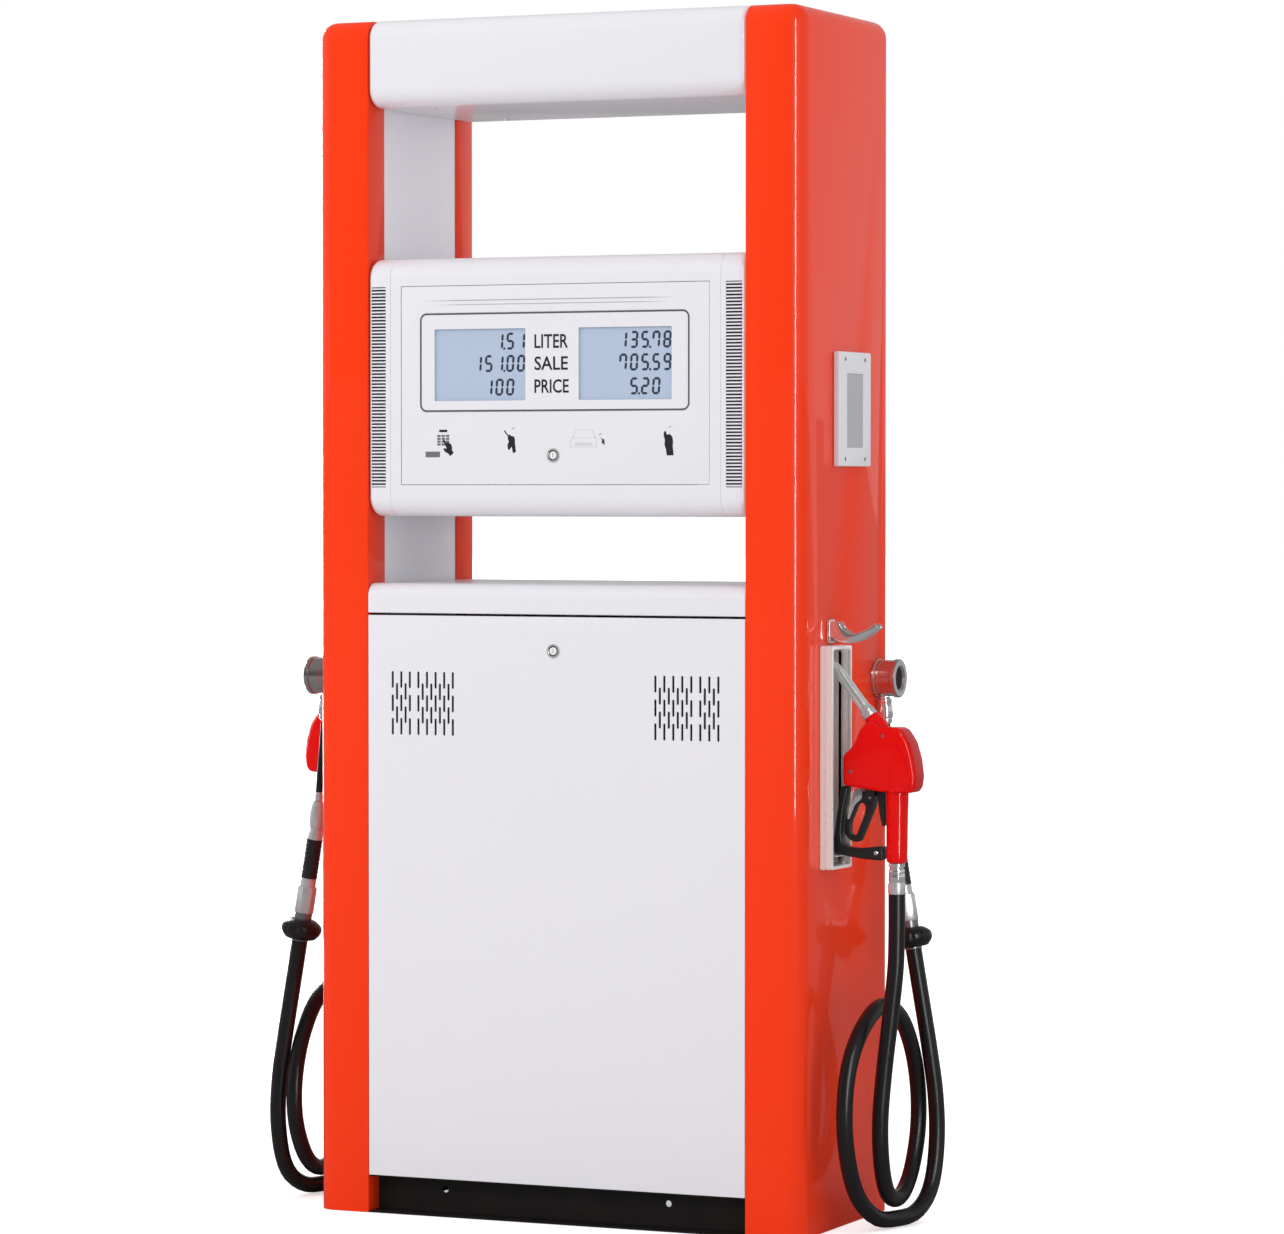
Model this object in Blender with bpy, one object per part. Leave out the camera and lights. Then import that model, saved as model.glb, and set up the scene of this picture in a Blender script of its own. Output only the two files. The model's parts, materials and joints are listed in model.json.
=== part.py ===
"""Double-sided fuel dispenser: two columns carry a cabinet, a display head and a header.

Metres, +Z up, the front faces -Y, and the origin is on the floor under the middle.
Front and right-hand pieces are modelled once, and turned half round for the rear and left.
"""

import math
from collections import namedtuple

import bmesh
import bpy
from mathutils import Matrix, Quaternion, Vector

# Overall sizes
BODY_HEIGHT = 2.200
BODY_DEPTH = 0.440
COLUMN_GAP = 0.756
COLUMN_WIDTH = 0.108

# Heights of what stands between the columns
BASE_HEIGHT = 0.070
CABINET_HEIGHT = 1.165
TRAY_DEPTH = 0.055
HEAD_BOTTOM = 1.288
HEAD_HEIGHT = 0.473
HEADER_HEIGHT = 0.160

# Radii of the low edges, the high edges and the ends
TRAY_EDGES = (0.0025, 0.024, 0.0025)
HEAD_EDGES = (0.036, 0.036, 0.015)
HEADER_EDGES = (0.034, 0.034, 0.014)

# Sheet metal and clearances
SHEET = 0.002
PLATE = 0.003
FIT = 0.0003
DOOR_GAP = 0.004
EDGE_GAP = 0.0008

# Columns
COLUMN_CORNER = 0.036
COLUMN_TOP_EDGE = 0.032
RISER_OPENING = 0.300
RISER_LAP = 0.008
RISER_DEPTH = 0.045
RISER_TOP_GAP = 0.060

# Base
BASE_RECESS = 0.042
ANCHOR_X = 0.300
ANCHOR_RADIUS = 0.007
PLINTH_HOLE_RADIUS = 0.006

# Cabinet doors and locks
DOOR_RETURN = 0.016
LOCK_RADIUS = 0.0095
LOCK_RIM_RADIUS = 0.0125
LOCK_RIM = 0.002
CAM_WIDTH = 0.012
CAM_THICKNESS = 0.004
DOOR_LOCK_BELOW_TOP = 0.062
CAM_OVERLAP = 0.009

# Display head
DISPLAY_DOOR_WIDTH = 0.616
DISPLAY_DOOR_BOTTOM = 0.058
DISPLAY_DOOR_HEIGHT = 0.363
DISPLAY_RETURN = 0.012
WINDOW_WIDTH = 0.540
WINDOW_HEIGHT = 0.1815
WINDOW_BELOW_TOP = 0.049
WINDOW_CORNER = 0.014
WINDOW_THICKNESS = 0.004
DISPLAY_LOCK_HEIGHT = 0.053
LCD_WIDTH = 0.184
LCD_HEIGHT = 0.132
LCD_DEPTH = 0.008
LCD_CENTRES = (-0.148, 0.1425)

# Drive
PUMP_SIZE = (0.260, 0.200, 0.290)
PUMP_CENTRE = (-0.130, 0.0)
PUMP_SHAFT_HEIGHT = 0.170
MOTOR_X = 0.190
MOTOR_SHAFT_HEIGHT = 0.140
MOTOR_RADIUS = 0.085
MOTOR_LENGTH = 0.250
SHAFT_RADIUS = 0.010
PUMP_PULLEY_RADIUS = 0.100
MOTOR_PULLEY_RADIUS = 0.045
PULLEY_WIDTH = 0.020
GROOVE_DEPTH = 0.0085
BELT_THICKNESS = 0.008
BELT_WIDTH = 0.009
PULLEY_PLANE = -0.118

# Metering
METER_X = 0.200
METER_BOTTOM = 0.560
METER_RADIUS = 0.062
METER_BODY_HEIGHT = 0.100
METER_ARM = 0.085
PULSER_RADIUS = 0.030
FEED_RADIUS = 0.017
FEED_HEIGHT = 0.500
VALVE_LENGTH = 0.060
PIPE_RADIUS = 0.0125
PIPE_BEND = 0.022
PIPE_CLIMB = 0.110
PIPE_BEHIND_FACE = 0.0245
INLET_RADIUS = 0.025
INLET_WALL = 0.005
INLET_FLANGE = 0.012
INLET_FLANGE_RADIUS = 0.055

# Nozzle side of a column
NOZZLE_Y = -0.085
BOOT_WIDTH = 0.097
BOOT_BOTTOM = 0.655
BOOT_HEIGHT = 0.402
BOOT_PROUD = 0.024
BOOT_RECESS = 0.050
BOOT_RIM = 0.0065
BOOT_LAP = 0.0010
BOOT_LEDGE_HEIGHT = 0.6805
HOOK_WIDTH = 0.026
HOOK_THICKNESS = 0.012
HOOK_RADIUS = 0.080
HOOK_LOW = 1.0725
PLATE_WIDTH = 0.156
PLATE_HEIGHT = 0.207
PLATE_BOTTOM = 1.379
PLATE_Y = 0.008
PLATE_PROUD = 0.012

# Outlet side of a column
OUTLET_Y = 0.150
SIGHT_HEIGHT = 0.990
SIGHT_LENGTH = 0.045
SIGHT_RADIUS = 0.0335
SIGHT_RIM_RADIUS = 0.0355
SIGHT_RIM = 0.006
SIGHT_BORE = 0.022
HOSE_RADIUS = 0.015
GUARD_RING_RADIUS = 0.038
GUARD_RING_HEIGHT = 0.036

# Hose chain, as distance out from the column's face and height
CHAIN_TOP = (0.014, 0.9555)
CHAIN_KNUCKLE = (0.037, 0.700)
CHAIN_END = (0.070, 0.505)

# Nozzle, in its own plane: distance from the column's face and height
NOZZLE_THICKNESS = 0.052
SPOUT_RADIUS = 0.0105
GRIP_RADIUS = 0.0205
GUARD_THICKNESS = 0.024
TRIGGER_THICKNESS = 0.014
TRIGGER_PIVOT = (0.082, 0.785)
SWIVEL_AXIS = 0.1295
SWIVEL_TOP = 0.6690
SWIVEL_HEIGHT = 0.056
SPOUT_BEND = 0.040

# Nozzle outlines in its own plane, as (distance out from the column's face, height)
NOZZLE_OUTLINE = [
    (0.058, 0.903), (0.090, 0.926), (0.105, 0.912), (0.142, 0.912), (0.150, 0.903), (0.160, 0.887),
    (0.170, 0.856), (0.1745, 0.825), (0.172, 0.804), (0.163, 0.794), (0.107, 0.796), (0.027, 0.806),
    (0.027, 0.863), (0.042, 0.880),
]
SPOUT_ROUTE = [(0.080, 0.930), (0.016, 1.0125), (-0.008, 1.0290), (-0.034, 1.0345)]
GUARD_OUTLINE = [
    (0.026, 0.8058), (0.019, 0.759), (0.012, 0.711), (0.012, 0.682), (0.040, 0.678), (0.069, 0.674),
    (0.1063, 0.672), (0.1067, 0.700), (0.079, 0.696), (0.058, 0.694), (0.038, 0.696), (0.028, 0.703),
    (0.025, 0.719), (0.029, 0.760), (0.040, 0.8042),
]
TRIGGER_OUTLINE = [
    (0.051, 0.704), (0.038, 0.709), (0.0305, 0.722), (0.032, 0.745), (0.047, 0.786), (0.059, 0.795),
    (0.076, 0.796), (0.091, 0.789), (0.090, 0.770), (0.062, 0.705),
]
TRIGGER_HOLE = [
    (0.043, 0.718), (0.042, 0.738), (0.057, 0.773), (0.065, 0.777), (0.072, 0.770), (0.071, 0.758),
    (0.054, 0.715),
]

# The right hose's route from the guard ring to the nozzle, as (distance out from the column's face,
# place along the depth, height); it makes one full turn and rests on the floor once.
HOSE_ROUTE = [
    (0.078, 0.150, 0.458), (0.089, 0.150, 0.395), (0.102, 0.152, 0.315), (0.114, 0.154, 0.225),
    (0.118, 0.150, 0.140), (0.117, 0.122, 0.060), (0.110, 0.068, 0.022), (0.095, 0.010, 0.0158),
    (0.077, -0.050, 0.024), (0.064, -0.112, 0.072), (0.058, -0.146, 0.150), (0.058, -0.157, 0.230),
    (0.061, -0.140, 0.310), (0.066, -0.086, 0.372), (0.070, -0.005, 0.402), (0.074, 0.072, 0.378),
    (0.077, 0.128, 0.314), (0.078, 0.158, 0.235), (0.078, 0.158, 0.160), (0.080, 0.122, 0.093),
    (0.084, 0.072, 0.058), (0.090, 0.012, 0.050), (0.096, -0.046, 0.072), (0.100, -0.082, 0.125),
    (0.101, -0.092, 0.200), (0.107, -0.089, 0.290), (0.118, -0.086, 0.390),
    (0.1275, -0.085, 0.480), (0.1295, -0.085, 0.550),
]
HOSE_STEP = 0.072

HALF_GAP = COLUMN_GAP / 2
OUTER_X = HALF_GAP + COLUMN_WIDTH
HALF_DEPTH = BODY_DEPTH / 2
CLEAR_X = HALF_GAP - FIT
DECK_TOP = BASE_HEIGHT - FIT
TRAY_BOTTOM = CABINET_HEIGHT - TRAY_DEPTH
DOOR_TOP = TRAY_BOTTOM - DOOR_GAP
HEAD_TOP = HEAD_BOTTOM + HEAD_HEIGHT
HEADER_BOTTOM = BODY_HEIGHT - HEADER_HEIGHT
FACE_Y = FIT - HALF_DEPTH

Base = namedtuple("Base", "empty origin")

FINISHES = {
    "orange paint": ((0.95, 0.06, 0.008), 0.25, 0.0),
    "white paint": ((0.80, 0.80, 0.82), 0.30, 0.0),
    "black paint": ((0.02, 0.02, 0.02), 0.50, 0.0),
    "grey paint": ((0.35, 0.37, 0.38), 0.45, 0.0),
    "blue paint": ((0.10, 0.20, 0.35), 0.40, 0.0),
    "red paint": ((0.75, 0.01, 0.01), 0.25, 0.0),
    "cast metal": ((0.45, 0.45, 0.46), 0.50, 1.0),
    "steel": ((0.55, 0.55, 0.56), 0.35, 1.0),
    "chrome": ((0.80, 0.80, 0.80), 0.12, 1.0),
    "rubber": ((0.02, 0.02, 0.022), 0.55, 0.0),
    "acrylic": ((0.85, 0.86, 0.88), 0.15, 0.0),
    "circuit board": ((0.05, 0.20, 0.10), 0.50, 0.0),
}


def clear_scene():
    for obj in list(bpy.data.objects):
        bpy.data.objects.remove(obj, do_unlink=True)


def pivot(name, point, base=None):
    """An empty on a joint's axis, for the pieces that move on it."""
    empty = bpy.data.objects.new(name, None)
    bpy.context.scene.collection.objects.link(empty)
    empty.empty_display_size = 0.03
    origin = Vector(point)
    empty.location = origin - (base.origin if base else Vector())
    if base:
        empty.parent = base.empty
    return Base(empty, origin)


def finish(name, kind):
    colour, roughness, metallic = FINISHES[kind]
    made = bpy.data.materials.new(name)
    made.use_nodes = True
    shader = made.node_tree.nodes["Principled BSDF"]
    shader.inputs["Base Color"].default_value = (*colour, 1.0)
    shader.inputs["Roughness"].default_value = roughness
    shader.inputs["Metallic"].default_value = metallic
    made.diffuse_color = (*colour, 1.0)
    return made


def mesh_object(name, shape, base):
    mesh = bpy.data.meshes.new(name)
    bmesh.ops.recalc_face_normals(shape, faces=shape.faces)
    shape.to_mesh(mesh)
    shape.free()
    mesh.transform(Matrix.Translation(-base.origin))
    mesh.shade_smooth()
    mesh.set_sharp_from_angle(angle=math.radians(35))
    obj = bpy.data.objects.new(name, mesh)
    obj.parent = base.empty
    bpy.context.scene.collection.objects.link(obj)
    return obj


def solid(name, kind, base, shape, add=(), cut=()):
    """One sub-part: a shape with others united to it, then others cut from it."""
    obj = mesh_object(name, shape, base)
    obj.data.materials.append(finish(name, kind))
    for operation, tools in (("UNION", add), ("DIFFERENCE", cut)):
        for tool_shape in tools:
            tool = mesh_object(f"{name}_tool", tool_shape, base)
            tool.hide_render = True
            tool.display_type = "WIRE"
            modifier = obj.modifiers.new(tool.name, "BOOLEAN")
            modifier.operation = operation
            modifier.object = tool
    return obj


def block(low, high):
    low, high = Vector(low), Vector(high)
    shape = bmesh.new()
    bmesh.ops.create_cube(shape, size=1.0)
    bmesh.ops.scale(shape, vec=high - low, verts=shape.verts)
    bmesh.ops.translate(shape, vec=(low + high) / 2, verts=shape.verts)
    return shape


def soften(shape, radius, segments=2, axes="XYZ"):
    """Rounds the straight edges that run along the named axes."""
    chosen = []
    for edge in shape.edges:
        line = edge.verts[1].co - edge.verts[0].co
        along = "XYZ"[max(range(3), key=lambda i: abs(line[i]))]
        if along in axes and len(edge.link_faces) == 2 and edge.calc_face_angle() > 0.3:
            chosen.append(edge)
    bmesh.ops.bevel(shape, geom=chosen, offset=radius, segments=segments, affect="EDGES", profile=0.5)
    return shape


def prism(outline, axis, start, end):
    """An outline in the plane across an axis, extruded along it. Across Y the outline is (x, z)."""
    place = {"X": lambda p, d: (d, *p), "Y": lambda p, d: (p[0], d, p[1]), "Z": lambda p, d: (*p, d)}[axis]
    shape = bmesh.new()
    low = [shape.verts.new(place(p, start)) for p in outline]
    high = [shape.verts.new(place(p, end)) for p in outline]
    shape.faces.new(low)
    shape.faces.new(reversed(high))
    for i in range(len(outline)):
        j = (i + 1) % len(outline)
        shape.faces.new((low[i], high[i], high[j], low[j]))
    return shape


def ring_prism(outer, inner, axis, start, end):
    """A band between two outlines with as many points each."""
    place = {"X": lambda p, d: (d, *p), "Y": lambda p, d: (p[0], d, p[1]), "Z": lambda p, d: (*p, d)}[axis]
    shape = bmesh.new()
    rings = [
        [shape.verts.new(place(p, at)) for p in outline]
        for outline, at in ((outer, start), (outer, end), (inner, end), (inner, start))
    ]
    join_rings(shape, rings, closed=True)
    return shape


def join_rings(shape, rings, closed=False):
    pairs = list(zip(rings, rings[1:]))
    if closed:
        pairs.append((rings[-1], rings[0]))
    for first, second in pairs:
        for i in range(max(len(first), len(second))):
            j = (i + 1) % max(len(first), len(second))
            corners = [first[i % len(first)], first[j % len(first)]]
            corners += [second[j % len(second)], second[i % len(second)]]
            shape.faces.new(list(dict.fromkeys(corners)))


def turned(profile, start, direction, sides=24, closed=False):
    """A turned shape: (radius, distance) points along a line, where a radius of 0 closes an end."""
    start = Vector(start)
    direction = Vector(direction).normalized()
    turn = direction.to_track_quat("Z", "Y")
    shape = bmesh.new()
    rings = []
    for radius, distance in profile:
        centre = start + direction * distance
        if radius == 0:
            rings.append([shape.verts.new(centre)])
            continue
        angles = [2 * math.pi * i / sides for i in range(sides)]
        offsets = [turn @ Vector((radius * math.cos(a), radius * math.sin(a), 0)) for a in angles]
        rings.append([shape.verts.new(centre + offset) for offset in offsets])
    join_rings(shape, rings, closed)
    return shape


def rod(radius, start, end, sides=20):
    start, end = Vector(start), Vector(end)
    length = (end - start).length
    return turned([(0, 0), (radius, 0), (radius, length), (0, length)], start, end - start, sides)


def arc(centre, radius, first, last, steps):
    """Points on an arc, with the angles in degrees."""
    points = []
    for i in range(steps + 1):
        angle = math.radians(first + (last - first) * i / steps)
        points.append((centre[0] + radius * math.cos(angle), centre[1] + radius * math.sin(angle)))
    return points


def rounded_outline(low, high, radii, steps=4):
    """A rectangle with its own radius at each corner, from the low corner anticlockwise."""
    corners = ((low[0], low[1]), (high[0], low[1]), (high[0], high[1]), (low[0], high[1]))
    inward = ((1, 1), (-1, 1), (-1, -1), (1, -1))
    points = []
    for i, (corner, sign, radius) in enumerate(zip(corners, inward, radii)):
        if radius == 0:
            points.append(corner)
            continue
        centre = (corner[0] + sign[0] * radius, corner[1] + sign[1] * radius)
        points += arc(centre, radius, 180 + 90 * i, 270 + 90 * i, steps)
    return points


def cushioned_box(low, high, edges, inset=0.0, steps=4):
    """A beam along X across the body's depth between two heights, less an even inset.

    The edges are the radii along its low edges, its high edges and round its ends.
    """
    low_edge, high_edge, end_edge = (max(edge - inset, 0.0005) for edge in edges)
    length = CLEAR_X - inset
    stations = []
    for i in range(steps + 1):
        angle = math.pi / 2 * i / steps
        shrink = inset + end_edge * (1 - math.sin(angle))
        stations.append((length - end_edge * (1 - math.cos(angle)), shrink))
    placed = [(-x, shrink) for x, shrink in stations] + [(x, shrink) for x, shrink in reversed(stations)]
    shape = bmesh.new()
    rings = []
    for x, shrink in placed:
        radii = [max(edge - shrink, 0.0002) for edge in (edges[0], edges[0], edges[1], edges[1])]
        outline = rounded_outline((shrink - HALF_DEPTH, low + shrink),
                                  (HALF_DEPTH - shrink, high - shrink), radii)
        rings.append([shape.verts.new((x, *point)) for point in outline])
    join_rings(shape, rings)
    shape.faces.new(rings[0])
    shape.faces.new(rings[-1])
    return shape


def column_box(inset, height, bottom):
    """A column's outer form less an even inset: rounded outside and on top, square on the inner side."""
    shape = bmesh.new()
    rings = []
    levels = [(bottom, 0.0)]
    for i in range(5):
        angle = math.pi / 2 * i / 4
        rise = COLUMN_TOP_EDGE * math.sin(angle)
        levels.append((height - COLUMN_TOP_EDGE + rise, COLUMN_TOP_EDGE * (1 - math.cos(angle))))
    for z, shrink in levels:
        edge = inset + shrink
        outer = COLUMN_CORNER - edge
        outline = rounded_outline((HALF_GAP + inset, edge - HALF_DEPTH), (OUTER_X - edge, HALF_DEPTH - edge),
                                  [0, outer, outer, 0])
        rings.append([shape.verts.new((*point, z)) for point in outline])
    join_rings(shape, rings)
    shape.faces.new(rings[0])
    shape.faces.new(rings[-1])
    return shape


def boot_opening(margin, low_x, high_x):
    """The boot's rectangle in the column's face, grown or shrunk by a margin."""
    low = (low_x, NOZZLE_Y - BOOT_WIDTH / 2 - margin, BOOT_BOTTOM - margin)
    high = (high_x, NOZZLE_Y + BOOT_WIDTH / 2 + margin, BOOT_BOTTOM + BOOT_HEIGHT + margin)
    return block(low, high)


def add_column(side, base):
    half_opening = RISER_OPENING / 2
    solid(
        f"column_cover_{side}", "orange paint", base,
        column_box(0, BODY_HEIGHT, 0),
        cut=[
            column_box(SHEET, BODY_HEIGHT - SHEET, -0.05),
            block((HALF_GAP - 0.01, -half_opening, -0.05),
                  (HALF_GAP + 0.01, half_opening, BODY_HEIGHT - RISER_TOP_GAP)),
            boot_opening(-BOOT_LAP, OUTER_X - 0.02, OUTER_X + 0.02),
            rod(PIPE_RADIUS + 0.0008, (OUTER_X - 0.02, OUTLET_Y, SIGHT_HEIGHT),
                (OUTER_X + 0.02, OUTLET_Y, SIGHT_HEIGHT)),
        ],
    )
    web = HALF_GAP + SHEET + FIT
    edge = web + RISER_DEPTH
    wide = half_opening + RISER_LAP
    channel = [(web, -wide), (edge, -wide), (edge, PLATE - wide), (web + PLATE, PLATE - wide),
               (web + PLATE, wide - PLATE), (edge, wide - PLATE), (edge, wide), (web, wide)]
    pipe_height = METER_BOTTOM + METER_BODY_HEIGHT / 2
    solid(
        f"riser_{side}", "white paint", base,
        prism(channel, "Z", 0, BODY_HEIGHT - RISER_TOP_GAP - FIT),
        cut=[rod(PIPE_RADIUS + 0.004, (HALF_GAP - 0.02, PUMP_CENTRE[1], pipe_height),
                 (HALF_GAP + 0.03, PUMP_CENTRE[1], pipe_height))],
    )


def add_base_frame(base):
    skirt = HALF_DEPTH - BASE_RECESS
    lip = HALF_DEPTH - 0.0055
    deck = DECK_TOP - PLATE
    holes = [rod(INLET_RADIUS + FIT, (PUMP_CENTRE[0], PUMP_CENTRE[1], deck - 0.01),
                 (PUMP_CENTRE[0], PUMP_CENTRE[1], DECK_TOP + 0.01), 24)]
    for x in (-ANCHOR_X, ANCHOR_X):
        for y in (-skirt - BASE_RECESS / 2, skirt + BASE_RECESS / 2):
            holes.append(rod(ANCHOR_RADIUS, (x, y, -0.01), (x, y, 0.01), 12))
    for x in (-ANCHOR_X * 0.8, ANCHOR_X * 0.7):
        holes.append(rod(PLINTH_HOLE_RADIUS, (x, -HALF_DEPTH, 0.045), (x, HALF_DEPTH, 0.045), 12))
    solid(
        "base_frame", "black paint", base,
        block((-CLEAR_X, -skirt, 0), (CLEAR_X, skirt, DECK_TOP)),
        add=[
            block((-CLEAR_X, -lip, deck), (CLEAR_X, lip, DECK_TOP)),
            block((-CLEAR_X, 0.0015 - HALF_DEPTH, 0), (CLEAR_X, HALF_DEPTH - 0.0015, PLATE)),
        ],
        cut=[block((PLATE - CLEAR_X, PLATE - skirt, -0.05), (CLEAR_X - PLATE, skirt - PLATE, deck)),
             *holes],
    )


def add_header(base):
    middle = (HEADER_BOTTOM + BODY_HEIGHT) / 2
    solid(
        "header_housing", "white paint", base,
        cushioned_box(HEADER_BOTTOM, BODY_HEIGHT, HEADER_EDGES),
        cut=[cushioned_box(HEADER_BOTTOM, BODY_HEIGHT, HEADER_EDGES, SHEET, 3),
             rod(0.015, (-HALF_GAP - 0.01, 0, middle), (HALF_GAP + 0.01, 0, middle), 16)],
    )


def add_head(base):
    half = DISPLAY_DOOR_WIDTH / 2 + EDGE_GAP
    bottom = HEAD_BOTTOM + DISPLAY_DOOR_BOTTOM - EDGE_GAP
    top = HEAD_BOTTOM + DISPLAY_DOOR_BOTTOM + DISPLAY_DOOR_HEIGHT + EDGE_GAP
    solid(
        "head_housing", "white paint", base,
        cushioned_box(HEAD_BOTTOM, HEAD_TOP, HEAD_EDGES),
        cut=[cushioned_box(HEAD_BOTTOM, HEAD_TOP, HEAD_EDGES, SHEET, 3),
             block((-half, -HALF_DEPTH - 0.01, bottom), (half, HALF_DEPTH + 0.01, top))],
    )
    floor = HEAD_BOTTOM + SHEET + FIT
    solid(
        "control_box", "grey paint", base,
        soften(block((-0.16, -0.080, floor), (0.10, 0.080, floor + 0.110)), 0.004, 1, "Z"),
        add=[block((-0.12, -0.060, floor + 0.100), (0.06, 0.060, floor + 0.125)),
             block((0.09, -0.050, floor), (0.17, 0.050, floor + 0.070))],
    )


def add_cabinet_top(base):
    inner = cushioned_box(TRAY_BOTTOM, CABINET_HEIGHT, TRAY_EDGES, SHEET, 3)
    under = block((SHEET - CLEAR_X, SHEET - HALF_DEPTH, TRAY_BOTTOM - 0.05),
                  (CLEAR_X - SHEET, HALF_DEPTH - SHEET, TRAY_BOTTOM + 0.012))
    solid("cabinet_top", "white paint", base, cushioned_box(TRAY_BOTTOM, CABINET_HEIGHT, TRAY_EDGES),
          cut=[inner, under])


def pan(half_width, bottom, top, depth):
    """A panel with returned edges, seen from outside, as a block and what is cut from behind it."""
    outer = block((-half_width, FACE_Y, bottom), (half_width, FACE_Y + depth, top))
    hollow = block((SHEET - half_width, FACE_Y + SHEET, bottom + SHEET),
                   (half_width - SHEET, FACE_Y + depth + 0.05, top - SHEET))
    return outer, hollow


def add_lock(name, base, height, depth, reach):
    """A cam lock: its rim stands on the panel, and its cam lies flat behind the returns."""
    front = FACE_Y - LOCK_RIM - FIT
    profile = [(0, 0), (LOCK_RIM_RADIUS, 0), (LOCK_RIM_RADIUS, LOCK_RIM), (LOCK_RADIUS, LOCK_RIM),
               (LOCK_RADIUS, depth), (0, depth)]
    cam_y = front + depth - CAM_THICKNESS
    solid(
        name, "chrome", base,
        turned(profile, (0, front, height), (0, 1, 0)),
        add=[block((0, cam_y, height - CAM_WIDTH / 2),
                   (reach, cam_y + CAM_THICKNESS, height + CAM_WIDTH / 2))],
    )


def lock_hole(height):
    return rod(LOCK_RADIUS + FIT, (0, FACE_Y - 0.01, height), (0, FACE_Y + 0.01, height))


def add_door(side, frame):
    hinge = pivot(f"door_hinge_{side}", (0, FACE_Y, BASE_HEIGHT), frame)
    lock_height = DOOR_TOP - DOOR_LOCK_BELOW_TOP
    outer, hollow = pan(HALF_GAP - EDGE_GAP, BASE_HEIGHT, DOOR_TOP, DOOR_RETURN)
    notch = block((-CAM_WIDTH, FACE_Y + SHEET, DOOR_TOP - 0.01), (CAM_WIDTH, 0, DOOR_TOP + 0.01))
    solid(f"door_{side}", "white paint", hinge, outer, cut=[hollow, notch, lock_hole(lock_height)])
    lock = pivot(f"door_lock_axis_{side}", (0, FACE_Y, lock_height), hinge)
    reach = DOOR_LOCK_BELOW_TOP + DOOR_GAP + CAM_OVERLAP
    add_lock(f"door_lock_{side}", lock, lock_height, DOOR_RETURN + 0.008, reach)


def add_display(side, frame):
    bottom = HEAD_BOTTOM + DISPLAY_DOOR_BOTTOM
    top = bottom + DISPLAY_DOOR_HEIGHT
    hinge = pivot(f"display_hinge_{side}", (0, FACE_Y, top), frame)
    lock_height = bottom + DISPLAY_LOCK_HEIGHT
    outer, hollow = pan(DISPLAY_DOOR_WIDTH / 2, bottom, top, DISPLAY_RETURN)
    window_top = top - WINDOW_BELOW_TOP
    window_low = (-WINDOW_WIDTH / 2, window_top - WINDOW_HEIGHT)
    window_high = (WINDOW_WIDTH / 2, window_top)
    opening = rounded_outline(window_low, window_high, [WINDOW_CORNER] * 4)
    solid(f"display_door_{side}", "white paint", hinge, outer,
          cut=[hollow, prism(opening, "Y", FACE_Y - 0.01, FACE_Y + 0.01), lock_hole(lock_height)])
    pane_low = (window_low[0] + FIT, window_low[1] + FIT)
    pane_high = (window_high[0] - FIT, window_high[1] - FIT)
    pane = rounded_outline(pane_low, pane_high, [WINDOW_CORNER - FIT] * 4)
    back = FACE_Y + WINDOW_THICKNESS
    solid(f"display_window_{side}", "acrylic", hinge, prism(pane, "Y", FACE_Y, back))
    middle = window_top - WINDOW_HEIGHT / 2
    front = back + FIT
    board = block((0.004 - WINDOW_WIDTH / 2, front + LCD_DEPTH - 0.001, window_low[1] + 0.006),
                  (WINDOW_WIDTH / 2 - 0.004, front + LCD_DEPTH + 0.0016, window_top - 0.006))
    modules = [block((x - LCD_WIDTH / 2, front, middle - LCD_HEIGHT / 2),
                     (x + LCD_WIDTH / 2, front + LCD_DEPTH, middle + LCD_HEIGHT / 2)) for x in LCD_CENTRES]
    solid(f"lcd_board_{side}", "circuit board", hinge, board, add=modules)
    lock = pivot(f"display_lock_axis_{side}", (0, FACE_Y, lock_height), hinge)
    add_lock(f"display_lock_{side}", lock, lock_height, DISPLAY_RETURN + 0.008,
             DISPLAY_LOCK_HEIGHT + CAM_OVERLAP)


def pulley(name, frame, centre, radius):
    """A V-belt pulley, bored for its shaft, on an axle that runs along the depth."""
    axle = pivot(f"{name}_axle", (centre[0], PULLEY_PLANE, centre[1]), frame)
    half = PULLEY_WIDTH / 2
    floor = BELT_WIDTH / 2 + FIT
    groove = radius - GROOVE_DEPTH
    bore = SHAFT_RADIUS + FIT
    profile = [(bore, -half), (radius, -half), (radius, -floor), (groove, -floor), (groove, floor),
               (radius, floor), (radius, half), (bore, half)]
    shape = turned(profile, (centre[0], PULLEY_PLANE, centre[1]), (0, 1, 0), 32, closed=True)
    solid(name, "cast metal", axle, shape)


def belt_outline(first, first_radius, second, second_radius, steps=10):
    """Round two circles and straight between them, where the first is the larger."""
    across = Vector(second) - Vector(first)
    heading = math.degrees(math.atan2(across.y, across.x))
    lean = math.degrees(math.acos((first_radius - second_radius) / across.length))
    return (arc(second, second_radius, heading - lean, heading + lean, steps)
            + arc(first, first_radius, heading + lean, heading + 360 - lean, 2 * steps))


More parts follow.
